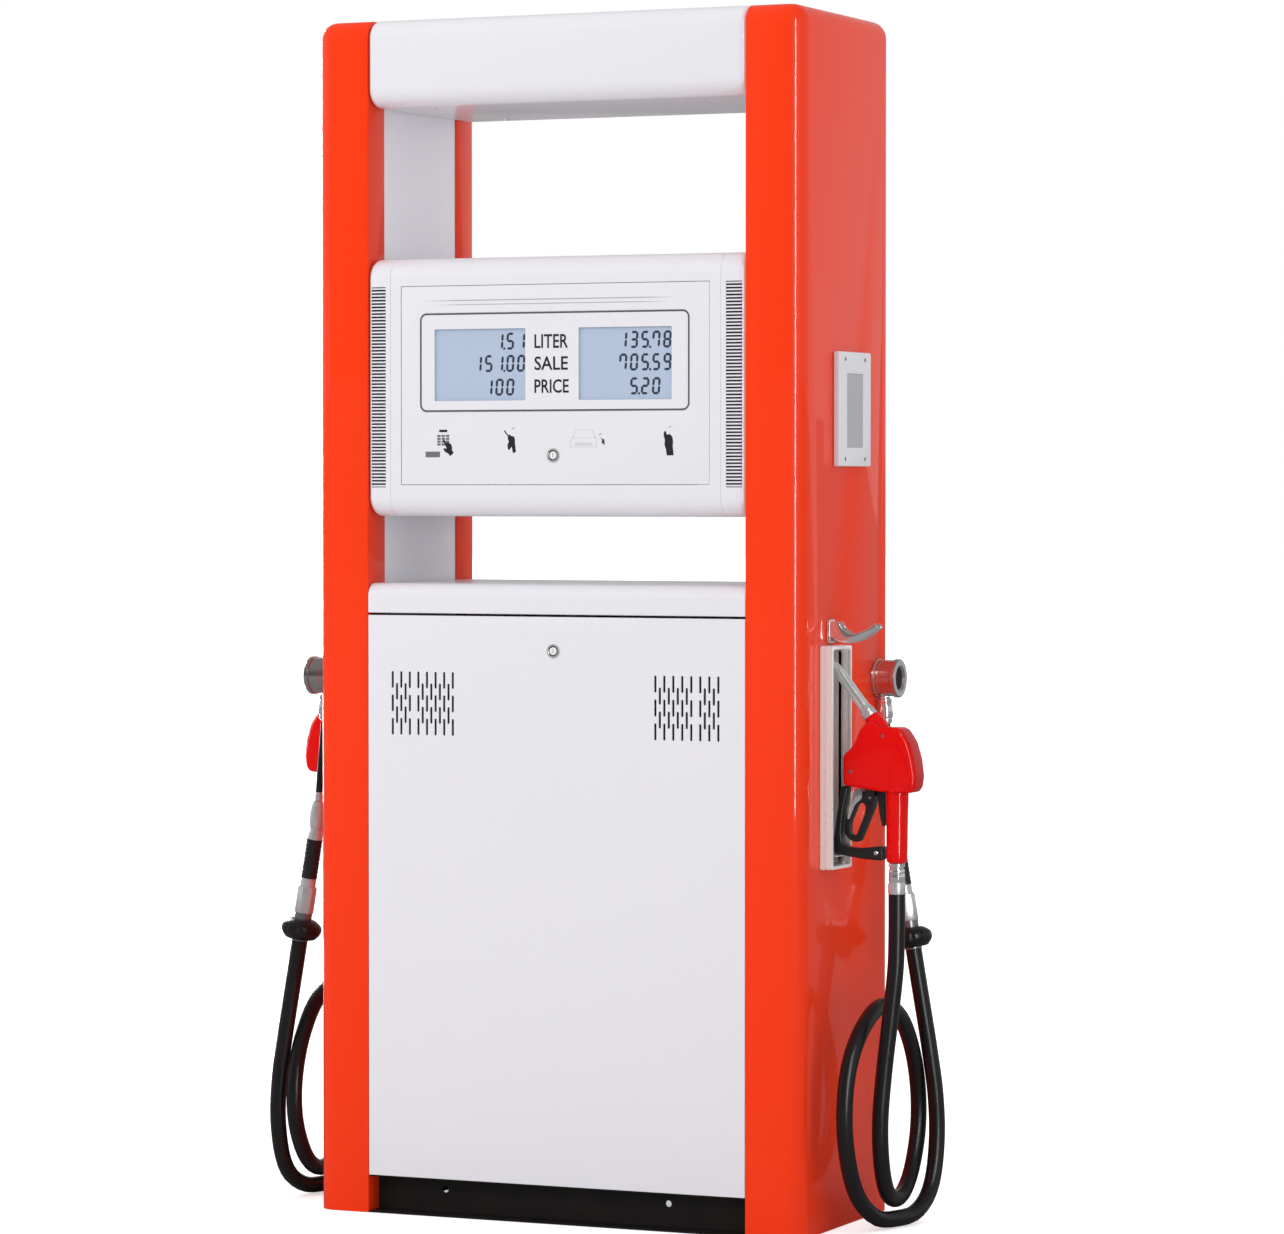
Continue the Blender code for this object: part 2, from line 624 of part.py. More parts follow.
def add_drive(frame):
    x, y = PUMP_CENTRE
    pump_shaft = BASE_HEIGHT + PUMP_SHAFT_HEIGHT
    motor_shaft = BASE_HEIGHT + MOTOR_SHAFT_HEIGHT
    wide, deep, tall = PUMP_SIZE
    top = BASE_HEIGHT + tall
    shaft_end = PULLEY_PLANE - PULLEY_WIDTH / 2 - 0.004
    solid(
        "pump_unit", "cast metal", frame,
        soften(block((x - wide / 2, y - deep / 2, BASE_HEIGHT), (x + wide / 2, y + deep / 2, top)), 0.012),
        add=[
            rod(0.050, (x - 0.075, y + 0.04, top - 0.01), (x - 0.075, y + 0.04, top + 0.045), 24),
            rod(0.030, (x, y, top - 0.01), (x, y, top + 0.040)),
            rod(0.070, (x, y - deep / 2 + 0.01, pump_shaft), (x, y - deep / 2 - 0.005, pump_shaft), 24),
            rod(SHAFT_RADIUS, (x, y - deep / 2 + 0.01, pump_shaft), (x, shaft_end, pump_shaft)),
        ],
    )
    front = PULLEY_PLANE + PULLEY_WIDTH / 2 + 0.016
    profile = [(0, 0), (0.050, 0), (0.055, 0.014), (MOTOR_RADIUS, 0.018),
               (MOTOR_RADIUS, MOTOR_LENGTH - 0.02), (MOTOR_RADIUS - 0.02, MOTOR_LENGTH), (0, MOTOR_LENGTH)]
    feet = [block((MOTOR_X - 0.075, front + start, BASE_HEIGHT),
                  (MOTOR_X + 0.075, front + start + 0.030, motor_shaft - 0.05)) for start in (0.040, 0.180)]
    terminal_box = block((MOTOR_X - 0.045, front + 0.07, motor_shaft + 0.05),
                         (MOTOR_X + 0.045, front + 0.17, motor_shaft + MOTOR_RADIUS + 0.04))
    solid(
        "motor", "blue paint", frame,
        turned(profile, (MOTOR_X, front, motor_shaft), (0, 1, 0), 28),
        add=[*feet, terminal_box,
             rod(SHAFT_RADIUS, (MOTOR_X, front + 0.01, motor_shaft), (MOTOR_X, shaft_end, motor_shaft))],
    )
    pulley("pump_pulley", frame, (x, pump_shaft), PUMP_PULLEY_RADIUS)
    pulley("motor_pulley", frame, (MOTOR_X, motor_shaft), MOTOR_PULLEY_RADIUS)
    ends = ((x, pump_shaft), (MOTOR_X, motor_shaft))
    seat = FIT - GROOVE_DEPTH + 0.0006
    inner = belt_outline(ends[0], PUMP_PULLEY_RADIUS + seat, ends[1], MOTOR_PULLEY_RADIUS + seat)
    seat += BELT_THICKNESS
    outer = belt_outline(ends[0], PUMP_PULLEY_RADIUS + seat, ends[1], MOTOR_PULLEY_RADIUS + seat)
    solid("drive_belt", "rubber", frame,
          ring_prism(outer, inner, "Y", PULLEY_PLANE - BELT_WIDTH / 2, PULLEY_PLANE + BELT_WIDTH / 2))
    bore = INLET_RADIUS - INLET_WALL
    rise = DECK_TOP - PLATE
    profile = [(bore, 0), (INLET_FLANGE_RADIUS, 0), (INLET_FLANGE_RADIUS, INLET_FLANGE),
               (INLET_RADIUS, INLET_FLANGE), (INLET_RADIUS, rise), (bore, rise)]
    solid("inlet_pipe", "steel", frame, turned(profile, (x, y, PLATE), (0, 0, 1), 24, closed=True))


def add_feed_pipe(frame):
    x, y = PUMP_CENTRE
    outlet = BASE_HEIGHT + PUMP_SIZE[2] + 0.040 + FIT
    rise = METER_BOTTOM - FIT
    solid(
        "feed_pipe", "steel", frame,
        rod(FEED_RADIUS, (-METER_X - FEED_RADIUS, y, FEED_HEIGHT), (METER_X + FEED_RADIUS, y, FEED_HEIGHT)),
        add=[rod(FEED_RADIUS, (x, y, outlet), (x, y, FEED_HEIGHT + 0.01), 16),
             rod(FEED_RADIUS * 0.96, (-METER_X, y, FEED_HEIGHT - 0.012), (-METER_X, y, rise), 16),
             rod(FEED_RADIUS * 0.96, (METER_X, y, FEED_HEIGHT - 0.012), (METER_X, y, rise), 16),
             rod(0.030, (x, y, outlet), (x, y, outlet + 0.010), 16)],
    )


def add_metering(side, base, meter_y):
    """Meter, valve and outlet pipe: the pump's line to one column's sight glass."""
    middle = METER_BOTTOM + METER_BODY_HEIGHT / 2
    top = METER_BOTTOM + METER_BODY_HEIGHT
    pulser = METER_BODY_HEIGHT + 0.060
    profile = [(0, 0), (METER_RADIUS, 0), (METER_RADIUS, METER_BODY_HEIGHT),
               (PULSER_RADIUS, METER_BODY_HEIGHT + 0.008), (PULSER_RADIUS, pulser), (0, pulser)]
    arm = METER_ARM
    solid(
        f"flow_meter_{side}", "cast metal", base,
        turned(profile, (METER_X, meter_y, METER_BOTTOM), (0, 0, 1)),
        add=[rod(0.034, (METER_X - arm, meter_y, middle), (METER_X + arm, meter_y, middle)),
             rod(0.034, (METER_X, meter_y - arm, middle), (METER_X, meter_y + arm, middle))],
    )
    start = METER_X + METER_ARM + FIT
    end = start + VALVE_LENGTH
    valve = block((start, meter_y - 0.024, middle - 0.022), (end, meter_y + 0.024, middle + 0.022))
    coil = (start + end) / 2
    solid(f"solenoid_valve_{side}", "steel", base, soften(valve, 0.004, 1),
          add=[rod(0.021, (coil, meter_y, middle), (coil, meter_y, top + 0.045))])
    riser_x = OUTER_X - PIPE_BEHIND_FACE
    corners = [(end + FIT, meter_y, middle), (riser_x - 0.008, meter_y, middle),
               (riser_x, OUTLET_Y, middle + PIPE_CLIMB), (riser_x, OUTLET_Y, SIGHT_HEIGHT),
               (OUTER_X, OUTLET_Y, SIGHT_HEIGHT)]
    tube(f"outlet_pipe_{side}", "steel", base, filleted(corners, PIPE_BEND), PIPE_RADIUS)


def filleted(corners, radius, steps=5):
    """A run of straight pipe with an arc at each corner."""
    corners = [Vector(c) for c in corners]
    points = [corners[0]]
    for before, corner, after in zip(corners, corners[1:], corners[2:]):
        back = (before - corner).normalized()
        ahead = (after - corner).normalized()
        half = back.angle(ahead) / 2
        middle = (back + ahead).normalized() * (radius / math.sin(half))
        reach = radius / math.tan(half)
        first, last = back * reach - middle, ahead * reach - middle
        axis, angle = first.cross(last), first.angle(last)
        points += [corner + middle + Quaternion(axis, angle * i / steps) @ first for i in range(steps + 1)]
    return [*points, corners[-1]]


def smooth_route(points, step):
    """Evenly spaced points on a smooth curve through a cord's own points."""
    points = [Vector(p) for p in points]
    fine = [points[0]]
    for i in range(len(points) - 1):
        first, last = points[i], points[i + 1]
        span = (last - first).length
        slopes = []
        for j in (i, i + 1):
            before, after = points[max(j - 1, 0)], points[min(j + 1, len(points) - 1)]
            slopes.append((after - before).normalized() * span)
        for k in range(1, 17):
            t = k / 16
            fine.append(first * (2 * t**3 - 3 * t**2 + 1) + slopes[0] * (t**3 - 2 * t**2 + t)
                        + last * (3 * t**2 - 2 * t**3) + slopes[1] * (t**3 - t**2))
    lengths = [0.0]
    for first, last in zip(fine, fine[1:]):
        lengths.append(lengths[-1] + (last - first).length)
    count = max(2, round(lengths[-1] / step))
    spaced = []
    at = 0
    for i in range(count + 1):
        target = lengths[-1] * i / count
        while at < len(fine) - 2 and lengths[at + 1] < target:
            at += 1
        share = (target - lengths[at]) / (lengths[at + 1] - lengths[at])
        spaced.append(fine[at].lerp(fine[at + 1], share))
    return spaced


def tube(name, kind, base, points, radius):
    curve = bpy.data.curves.new(name, "CURVE")
    curve.dimensions = "3D"
    curve.bevel_depth = radius
    curve.bevel_resolution = 2
    curve.use_fill_caps = True
    spline = curve.splines.new("POLY")
    spline.points.add(len(points) - 1)
    for place, point in zip(spline.points, points):
        place.co = (*(Vector(point) - base.origin), 1.0)
    curve.materials.append(finish(name, kind))
    obj = bpy.data.objects.new(name, curve)
    obj.parent = base.empty
    bpy.context.scene.collection.objects.link(obj)
    return obj


def chain_point(place):
    return Vector((OUTER_X + place[0], OUTLET_Y, place[1]))


def add_hose_chain(side, base):
    """Sight glass, swivel with its short whip, breakaway coupling, guard ring and hose."""
    face = OUTER_X + FIT
    centre = Vector((face, OUTLET_Y, SIGHT_HEIGHT))
    top, knuckle, end = (chain_point(p) for p in (CHAIN_TOP, CHAIN_KNUCKLE, CHAIN_END))
    upper = (knuckle - top).normalized()
    lower = (end - knuckle).normalized()
    body = SIGHT_LENGTH - SIGHT_RIM
    glass = SIGHT_LENGTH - 0.012
    profile = [(0, 0), (SIGHT_RADIUS, 0), (SIGHT_RADIUS, body), (SIGHT_RIM_RADIUS, body),
               (SIGHT_RIM_RADIUS, SIGHT_LENGTH), (SIGHT_BORE, SIGHT_LENGTH), (SIGHT_BORE, glass), (0, glass)]
    solid(f"sight_glass_{side}", "steel", base, turned(profile, centre, (1, 0, 0), 28),
          add=[rod(0.0100, top - upper * 0.010, top)])
    whip_end = 0.202
    profile = [(0, FIT), (0.0100, FIT), (0.0130, 0.014), (0.0130, 0.038), (0.0070, 0.050),
               (0.0070, whip_end), (0, whip_end)]
    solid(f"hose_swivel_{side}", "steel", base, turned(profile, top, upper, 20))
    reach = (knuckle - top).length - whip_end
    eye = [(0, 0), (0.009, 0), (0.0135, 0.012), (0.0145, 0.030), (0.012, reach), (0, reach)]
    ring_start = (end - knuckle).length - GUARD_RING_HEIGHT * 0.75
    neck = HOSE_RADIUS + 0.001
    neck_end = ring_start + GUARD_RING_HEIGHT + 0.004
    profile = [(0, -0.004), (0.010, -0.004), (0.015, 0.014), (0.015, 0.092), (0.014, 0.094), (0.014, 0.108),
               (0.018, 0.112), (0.018, ring_start - 0.006), (neck, ring_start - 0.003), (neck, neck_end),
               (0, neck_end)]
    solid(f"breakaway_{side}", "steel", base, turned(profile, knuckle, lower, 24),
          add=[turned(eye, top + upper * (whip_end + FIT), upper, 20)])
    bore = neck + FIT
    wide = GUARD_RING_RADIUS
    tall = GUARD_RING_HEIGHT
    profile = [(bore, 0), (wide * 0.62, 0), (wide * 0.94, tall * 0.25), (wide, tall * 0.45),
               (wide * 0.97, tall * 0.65), (wide * 0.70, tall), (bore, tall)]
    solid(f"hose_guard_{side}", "rubber", base,
          turned(profile, knuckle + lower * ring_start, lower, 28, closed=True))
    hose_start = knuckle + lower * (neck_end + FIT)
    route = [hose_start, *(Vector((OUTER_X + out, y, z)) for out, y, z in HOSE_ROUTE)]
    route.append(Vector((OUTER_X + SWIVEL_AXIS, NOZZLE_Y, SWIVEL_TOP - SWIVEL_HEIGHT - FIT)))
    tube(f"hose_{side}", "rubber", base, smooth_route(route, HOSE_STEP), HOSE_RADIUS)


def in_nozzle_plane(points):
    return [(OUTER_X + out, z) for out, z in points]


def add_nozzle(side, frame):
    low = NOZZLE_Y - NOZZLE_THICKNESS / 2
    high = NOZZLE_Y + NOZZLE_THICKNESS / 2
    base = pivot(f"nozzle_seat_{side}", (OUTER_X + SWIVEL_AXIS, NOZZLE_Y, SWIVEL_TOP), frame)

    def point(out, z, y=NOZZLE_Y):
        return Vector((OUTER_X + out, y, z))

    shell = in_nozzle_plane(NOZZLE_OUTLINE)
    collar_top, *spout_corners = (point(*corner) for corner in SPOUT_ROUTE)
    spout_way = (spout_corners[0] - collar_top).normalized()
    grip_top, grip_end = point(0.1305, 0.800), point(SWIVEL_AXIS, SWIVEL_TOP + FIT)
    out, z = TRIGGER_PIVOT
    lug = TRIGGER_THICKNESS / 2 + 0.0005
    lugs = [block(point(out - 0.008, z - 0.007, NOZZLE_Y + at),
                  point(out + 0.008, 0.806, NOZZLE_Y + at + 0.005)) for at in (lug, -lug - 0.005)]
    solid(
        f"nozzle_body_{side}", "red paint", base,
        soften(prism(shell, "Y", low, high), 0.007, 2, "XZ"),
        add=[rod(0.0150, collar_top - spout_way * 0.045, collar_top, 24),
             turned([(0, 0), (GRIP_RADIUS, 0), (GRIP_RADIUS - 0.0015, (grip_end - grip_top).length),
                     (0, (grip_end - grip_top).length)], grip_top, grip_end - grip_top, 24),
             *lugs,
             rod(0.0029, point(out, z, NOZZLE_Y - lug - 0.001), point(out, z, NOZZLE_Y + lug + 0.001), 12)],
    )
    tube(f"nozzle_spout_{side}", "chrome", base,
         filleted([collar_top + spout_way * FIT, *spout_corners], SPOUT_BEND, 3), SPOUT_RADIUS)
    guard = in_nozzle_plane(GUARD_OUTLINE)
    half = GUARD_THICKNESS / 2
    solid(f"nozzle_guard_{side}", "rubber", base,
          soften(prism(guard, "Y", NOZZLE_Y - half, NOZZLE_Y + half), 0.003, 1, "XZ"))
    trigger_base = pivot(f"trigger_axis_{side}", point(*TRIGGER_PIVOT), base)
    lever = in_nozzle_plane(TRIGGER_OUTLINE)
    hole = in_nozzle_plane(TRIGGER_HOLE)
    half = TRIGGER_THICKNESS / 2
    solid(f"trigger_{side}", "rubber", trigger_base,
          prism(lever, "Y", NOZZLE_Y - half, NOZZLE_Y + half),
          cut=[prism(hole, "Y", NOZZLE_Y - 0.02, NOZZLE_Y + 0.02),
               rod(0.0032, point(out, z, NOZZLE_Y - 0.02), point(out, z, NOZZLE_Y + 0.02), 12)])
    swivel = pivot(f"nozzle_swivel_axis_{side}", point(SWIVEL_AXIS, SWIVEL_TOP), base)
    profile = [(0, FIT), (0.0145, FIT), (0.0155, 0.004), (0.0155, 0.010), (0.0130, 0.014),
               (0.0130, 0.018), (0.0160, 0.022), (0.0160, 0.042), (0.0150, SWIVEL_HEIGHT), (0, SWIVEL_HEIGHT)]
    solid(f"nozzle_swivel_{side}", "chrome", swivel,
          turned(profile, point(SWIVEL_AXIS, SWIVEL_TOP), (0, 0, -1)))


def add_boot(side, base):
    """The nozzle's boot: a raised rim on the column's face, a recess behind it, and the ledge inside."""
    face = OUTER_X + FIT
    floor = OUTER_X - BOOT_RECESS
    ledge_top = BOOT_LEDGE_HEIGHT - FIT
    solid(
        f"nozzle_boot_{side}", "steel", base,
        soften(boot_opening(0, face, OUTER_X + BOOT_PROUD), 0.004, 2, "YZ"),
        add=[boot_opening(-BOOT_RIM / 2, floor, face + 0.004)],
        cut=[boot_opening(-BOOT_RIM, floor + SHEET, OUTER_X + 0.05)],
    )
    boot = bpy.data.objects[f"nozzle_boot_{side}"]
    ledge = mesh_object(
        f"nozzle_boot_{side}_ledge",
        block((floor + 0.001, NOZZLE_Y - 0.020, ledge_top - PLATE),
              (OUTER_X + 0.022, NOZZLE_Y + 0.020, ledge_top)),
        base)
    ledge.hide_render = True
    ledge.display_type = "WIRE"
    modifier = boot.modifiers.new("ledge", "BOOLEAN")
    modifier.operation = "UNION"
    modifier.object = ledge


def add_hook(side, base):
    """The hose hook above the boot: a curved arm on a small backing plate."""
    centre = (OUTER_X + 0.0395, HOOK_LOW + HOOK_RADIUS)
    inner = arc(centre, HOOK_RADIUS - HOOK_THICKNESS / 2, 241, 316, 10)
    outer = arc(centre, HOOK_RADIUS + HOOK_THICKNESS / 2, 314, 242, 10)
    low, high = NOZZLE_Y - HOOK_WIDTH / 2, NOZZLE_Y + HOOK_WIDTH / 2
    face = OUTER_X + FIT
    solid(f"hose_hook_{side}", "chrome", base,
          soften(prism(inner + outer, "Y", low, high), 0.0035, 2, "XZ"),
          add=[block((face, low - 0.003, 1.0605), (face + 0.005, high + 0.003, 1.104))],
          cut=[block((OUTER_X - 0.05, low - 0.01, 1.0), (face, high + 0.01, 1.2))])


def add_side_plate(side, base):
    face = OUTER_X + FIT
    low = (face, PLATE_Y - PLATE_WIDTH / 2, PLATE_BOTTOM)
    high = (OUTER_X + PLATE_PROUD, PLATE_Y + PLATE_WIDTH / 2, PLATE_BOTTOM + PLATE_HEIGHT)
    window = block((OUTER_X + PLATE_PROUD - 0.002, low[1] + 0.035, low[2] + 0.030),
                   (OUTER_X + PLATE_PROUD + 0.01, high[1] - 0.035, high[2] - 0.035))
    solid(f"side_plate_{side}", "white paint", base, soften(block(low, high), 0.002, 1, "XYZ"),
          cut=[window])


def main():
    clear_scene()
    front = pivot("front_frame", (0, 0, 0))
    rear = pivot("rear_frame", (0, 0, 0))
    rear.empty.rotation_euler.z = math.pi
    add_base_frame(front)
    add_header(front)
    add_head(front)
    add_cabinet_top(front)
    add_drive(front)
    add_feed_pipe(front)
    for end, side, frame in (("front", "right", front), ("rear", "left", rear)):
        add_door(end, frame)
        add_display(end, frame)
        add_column(side, frame)
        add_metering(side, frame, PUMP_CENTRE[1] if side == "right" else -PUMP_CENTRE[1])
        add_hose_chain(side, frame)
        add_nozzle(side, frame)
        add_boot(side, frame)
        add_hook(side, frame)
        add_side_plate(side, frame)


main()
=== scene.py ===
# Double-sided fuel dispenser: the visible model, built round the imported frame.
# Pieces are shaped for the front and the right column, and turned half round for the other side.
import json
import math
import bmesh
import bpy
from mathutils import Matrix, Quaternion, Vector
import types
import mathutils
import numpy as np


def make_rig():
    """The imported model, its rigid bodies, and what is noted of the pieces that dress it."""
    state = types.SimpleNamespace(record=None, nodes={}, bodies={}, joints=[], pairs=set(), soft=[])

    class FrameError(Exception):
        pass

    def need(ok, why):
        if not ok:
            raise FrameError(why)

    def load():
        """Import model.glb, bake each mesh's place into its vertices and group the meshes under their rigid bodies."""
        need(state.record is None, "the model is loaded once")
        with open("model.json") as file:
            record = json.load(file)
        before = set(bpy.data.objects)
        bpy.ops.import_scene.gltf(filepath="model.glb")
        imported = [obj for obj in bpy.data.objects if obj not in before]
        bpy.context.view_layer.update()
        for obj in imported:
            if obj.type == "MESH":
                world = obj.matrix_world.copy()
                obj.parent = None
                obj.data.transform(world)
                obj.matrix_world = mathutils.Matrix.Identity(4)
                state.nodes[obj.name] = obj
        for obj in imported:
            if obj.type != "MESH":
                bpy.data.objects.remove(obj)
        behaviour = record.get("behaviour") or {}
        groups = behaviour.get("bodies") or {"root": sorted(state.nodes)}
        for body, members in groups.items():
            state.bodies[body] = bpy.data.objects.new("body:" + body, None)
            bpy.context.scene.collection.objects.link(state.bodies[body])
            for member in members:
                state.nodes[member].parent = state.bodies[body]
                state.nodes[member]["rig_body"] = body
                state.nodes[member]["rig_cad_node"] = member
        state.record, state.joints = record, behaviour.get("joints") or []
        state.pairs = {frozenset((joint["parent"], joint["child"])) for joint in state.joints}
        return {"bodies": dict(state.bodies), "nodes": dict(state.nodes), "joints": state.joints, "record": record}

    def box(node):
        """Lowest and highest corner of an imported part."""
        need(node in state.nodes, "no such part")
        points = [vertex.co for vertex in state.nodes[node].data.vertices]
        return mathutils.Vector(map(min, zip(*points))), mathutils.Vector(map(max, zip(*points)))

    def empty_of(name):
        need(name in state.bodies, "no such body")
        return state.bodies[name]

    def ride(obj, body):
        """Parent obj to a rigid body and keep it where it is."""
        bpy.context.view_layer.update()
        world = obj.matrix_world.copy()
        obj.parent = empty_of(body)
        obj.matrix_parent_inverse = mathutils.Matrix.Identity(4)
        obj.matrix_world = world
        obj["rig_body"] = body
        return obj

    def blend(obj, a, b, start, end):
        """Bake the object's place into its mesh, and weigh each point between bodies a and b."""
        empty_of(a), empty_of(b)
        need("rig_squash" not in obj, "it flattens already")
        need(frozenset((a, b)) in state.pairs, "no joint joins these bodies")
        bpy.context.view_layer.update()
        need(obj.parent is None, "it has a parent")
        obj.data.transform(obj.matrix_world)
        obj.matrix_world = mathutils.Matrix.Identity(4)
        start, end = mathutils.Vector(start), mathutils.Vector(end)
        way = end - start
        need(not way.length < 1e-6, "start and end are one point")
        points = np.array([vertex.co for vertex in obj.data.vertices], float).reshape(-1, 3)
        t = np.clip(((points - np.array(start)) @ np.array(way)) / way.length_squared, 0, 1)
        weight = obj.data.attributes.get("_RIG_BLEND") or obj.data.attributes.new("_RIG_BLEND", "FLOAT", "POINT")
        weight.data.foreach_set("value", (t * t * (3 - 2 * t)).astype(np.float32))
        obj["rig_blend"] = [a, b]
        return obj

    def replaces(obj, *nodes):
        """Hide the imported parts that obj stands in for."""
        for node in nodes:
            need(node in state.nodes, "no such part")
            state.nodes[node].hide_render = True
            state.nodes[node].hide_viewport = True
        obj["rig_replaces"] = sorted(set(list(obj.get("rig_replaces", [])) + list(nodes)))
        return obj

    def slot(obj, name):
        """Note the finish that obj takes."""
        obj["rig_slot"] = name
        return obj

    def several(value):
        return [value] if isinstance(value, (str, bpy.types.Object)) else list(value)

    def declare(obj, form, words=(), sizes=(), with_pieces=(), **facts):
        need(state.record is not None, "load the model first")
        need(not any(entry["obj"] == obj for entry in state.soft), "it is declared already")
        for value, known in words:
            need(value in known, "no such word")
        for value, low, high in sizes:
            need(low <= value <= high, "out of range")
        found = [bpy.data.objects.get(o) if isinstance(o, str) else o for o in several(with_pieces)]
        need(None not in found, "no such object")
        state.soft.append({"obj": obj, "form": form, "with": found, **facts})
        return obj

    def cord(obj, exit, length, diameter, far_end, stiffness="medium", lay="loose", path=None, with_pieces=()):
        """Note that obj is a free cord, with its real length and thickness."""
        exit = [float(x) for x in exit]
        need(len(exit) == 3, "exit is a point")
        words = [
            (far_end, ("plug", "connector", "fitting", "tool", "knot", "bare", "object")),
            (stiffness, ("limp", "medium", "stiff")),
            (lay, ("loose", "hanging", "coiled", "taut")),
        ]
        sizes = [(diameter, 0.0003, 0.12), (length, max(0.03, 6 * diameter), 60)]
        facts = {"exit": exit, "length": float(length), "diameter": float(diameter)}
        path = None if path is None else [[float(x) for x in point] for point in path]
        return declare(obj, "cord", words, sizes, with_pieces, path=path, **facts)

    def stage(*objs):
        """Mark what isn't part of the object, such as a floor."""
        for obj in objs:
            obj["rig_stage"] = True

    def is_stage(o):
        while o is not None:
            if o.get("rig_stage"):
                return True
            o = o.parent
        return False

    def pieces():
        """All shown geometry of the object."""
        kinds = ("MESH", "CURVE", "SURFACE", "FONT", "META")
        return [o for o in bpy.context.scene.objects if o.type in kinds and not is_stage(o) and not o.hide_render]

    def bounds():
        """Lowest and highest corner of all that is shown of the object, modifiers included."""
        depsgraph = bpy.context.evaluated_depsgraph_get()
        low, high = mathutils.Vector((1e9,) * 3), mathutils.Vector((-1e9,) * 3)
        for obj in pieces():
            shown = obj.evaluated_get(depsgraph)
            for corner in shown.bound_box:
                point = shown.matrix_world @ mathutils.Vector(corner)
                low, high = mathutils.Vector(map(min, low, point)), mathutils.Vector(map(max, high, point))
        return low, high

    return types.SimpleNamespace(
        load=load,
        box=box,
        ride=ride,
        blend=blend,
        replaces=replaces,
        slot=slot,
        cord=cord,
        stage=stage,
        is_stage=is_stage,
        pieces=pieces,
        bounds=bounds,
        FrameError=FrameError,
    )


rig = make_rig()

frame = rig.load()
cadLow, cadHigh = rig.bounds()
halfTurn = Matrix.Rotation(math.pi, 4, "Z")
facings = ("front", "rear")
columnSides = ("right", "left")
turnedSides = ("rear", "left")


# where the frame puts things
def lowOf(node):
    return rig.box(node)[0]


def highOf(node):
    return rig.box(node)[1]


columnLow, columnHigh = lowOf("column_cover_right"), highOf("column_cover_right")
columnFace = columnHigh.x
nozzleY = (lowOf("nozzle_body_right").y + highOf("nozzle_body_right").y) / 2
outletY = (lowOf("sight_glass_right").y + highOf("sight_glass_right").y) / 2
outletHeight = 0.990


# camera, light and stage
def makeCamera():
    values = {"place": (3.8014, -8.3355, 1.3362), "tiltDown": 1.472, "turn": 24.07, "lens": 138.56}
    lens = bpy.data.cameras.new("shopCamera")
    lens.lens = values["lens"]
    lens.sensor_width = 36.0
    camera = bpy.data.objects.new("shopCamera", lens)
    camera.location = values["place"]
    camera.rotation_euler = (math.radians(90 - values["tiltDown"]), 0, math.radians(values["turn"]))
    bpy.context.scene.collection.objects.link(camera)
    bpy.context.scene.camera = camera


def makeLamp(name, place, target, size, power, inGloss=False):
    lamp = bpy.data.lights.new(name, "AREA")
    lamp.shape = "RECTANGLE"
    lamp.size, lamp.size_y = size
    lamp.energy = power
    holder = bpy.data.objects.new(name, lamp)
    holder.location = place
    holder.rotation_euler = (Vector(target) - Vector(place)).to_track_quat("-Z", "Y").to_euler()
    # a broad lamp only lights, and a tall strip is only seen in gloss, along rounded edges
    holder.visible_camera = False
    holder.visible_glossy = inGloss
    holder.visible_diffuse = not inGloss
    bpy.context.scene.collection.objects.link(holder)


def addNode(tree, kind, operation=None, values=(), feeds=()):
    # a node with its fixed values, fed by the outputs of other nodes
    node = tree.nodes.new("ShaderNode" + kind)
    if operation:
        node.operation = operation
    for label, value in dict(values).items():
        node.inputs[label].default_value = value
    for label, source in dict(feeds).items():
        tree.links.new(source, node.inputs[label])
    return node


def makeWorld():
    values = {"ambient": 1.08, "zenith": 0.42, "sideDim": 0.78, "frontDim": 0.06, "rearDim": 0.54}
    world = bpy.data.worlds.new("studio")
    bpy.context.scene.world = world
    world.use_nodes = True
    tree = world.node_tree
    tree.nodes.clear()
    path = addNode(tree, "LightPath")
    direction = addNode(tree, "TexCoord")
    split = addNode(tree, "SeparateXYZ", feeds={0: direction.outputs["Generated"]})
    # the sides are lit a little less than the front and the rear
    sideways = addNode(tree, "Math", "ABSOLUTE", feeds={0: split.outputs["X"]})
    sideLight = addNode(tree, "MapRange", None,
                        {"From Min": 0.45, "From Max": 0.95, "To Min": values["ambient"],
                         "To Max": values["ambient"] * values["sideDim"]},
                        {"Value": sideways.outputs[0]})
    light = addNode(tree, "Background", None, {"Color": (1.0, 0.99, 1.0, 1)},
                    {"Strength": sideLight.outputs["Result"]})
    # gloss sees a studio that dims towards the zenith and in front of the machine, and so keeps its shading
    ramp = addNode(tree, "ValToRGB", feeds={0: split.outputs["Z"]})
    level, overhead = ramp.color_ramp.elements
    level.position, level.color = 0.18, (1, 1, 1, 1)
    overhead.position, overhead.color = 0.75, (values["zenith"],) * 3 + (1,)
    forward = addNode(tree, "MapRange", None,
                      {"From Min": -0.87, "From Max": -0.50, "To Min": values["frontDim"],
                       "To Max": values["rearDim"]},
                      {"Value": split.outputs["Y"]})
    mirrored = addNode(tree, "Background", None, {},
                       {"Color": ramp.outputs["Color"], "Strength": forward.outputs["Result"]})
    lit = addNode(tree, "MixShader", None, {},
                  {0: path.outputs["Is Glossy Ray"], 1: light.outputs[0], 2: mirrored.outputs[0]})
    # behind the machine, and through glass, it is plain white
    seen = addNode(tree, "Background", None, {"Color": (1, 1, 1, 1)})
    either = addNode(tree, "Math", "MAXIMUM", {},
                     {0: path.outputs["Is Camera Ray"], 1: path.outputs["Is Transmission Ray"]})
    studio = addNode(tree, "MixShader", None, {},
                     {0: either.outputs[0], 1: lit.outputs[0], 2: seen.outputs[0]})
    addNode(tree, "OutputWorld", feeds={"Surface": studio.outputs[0]})


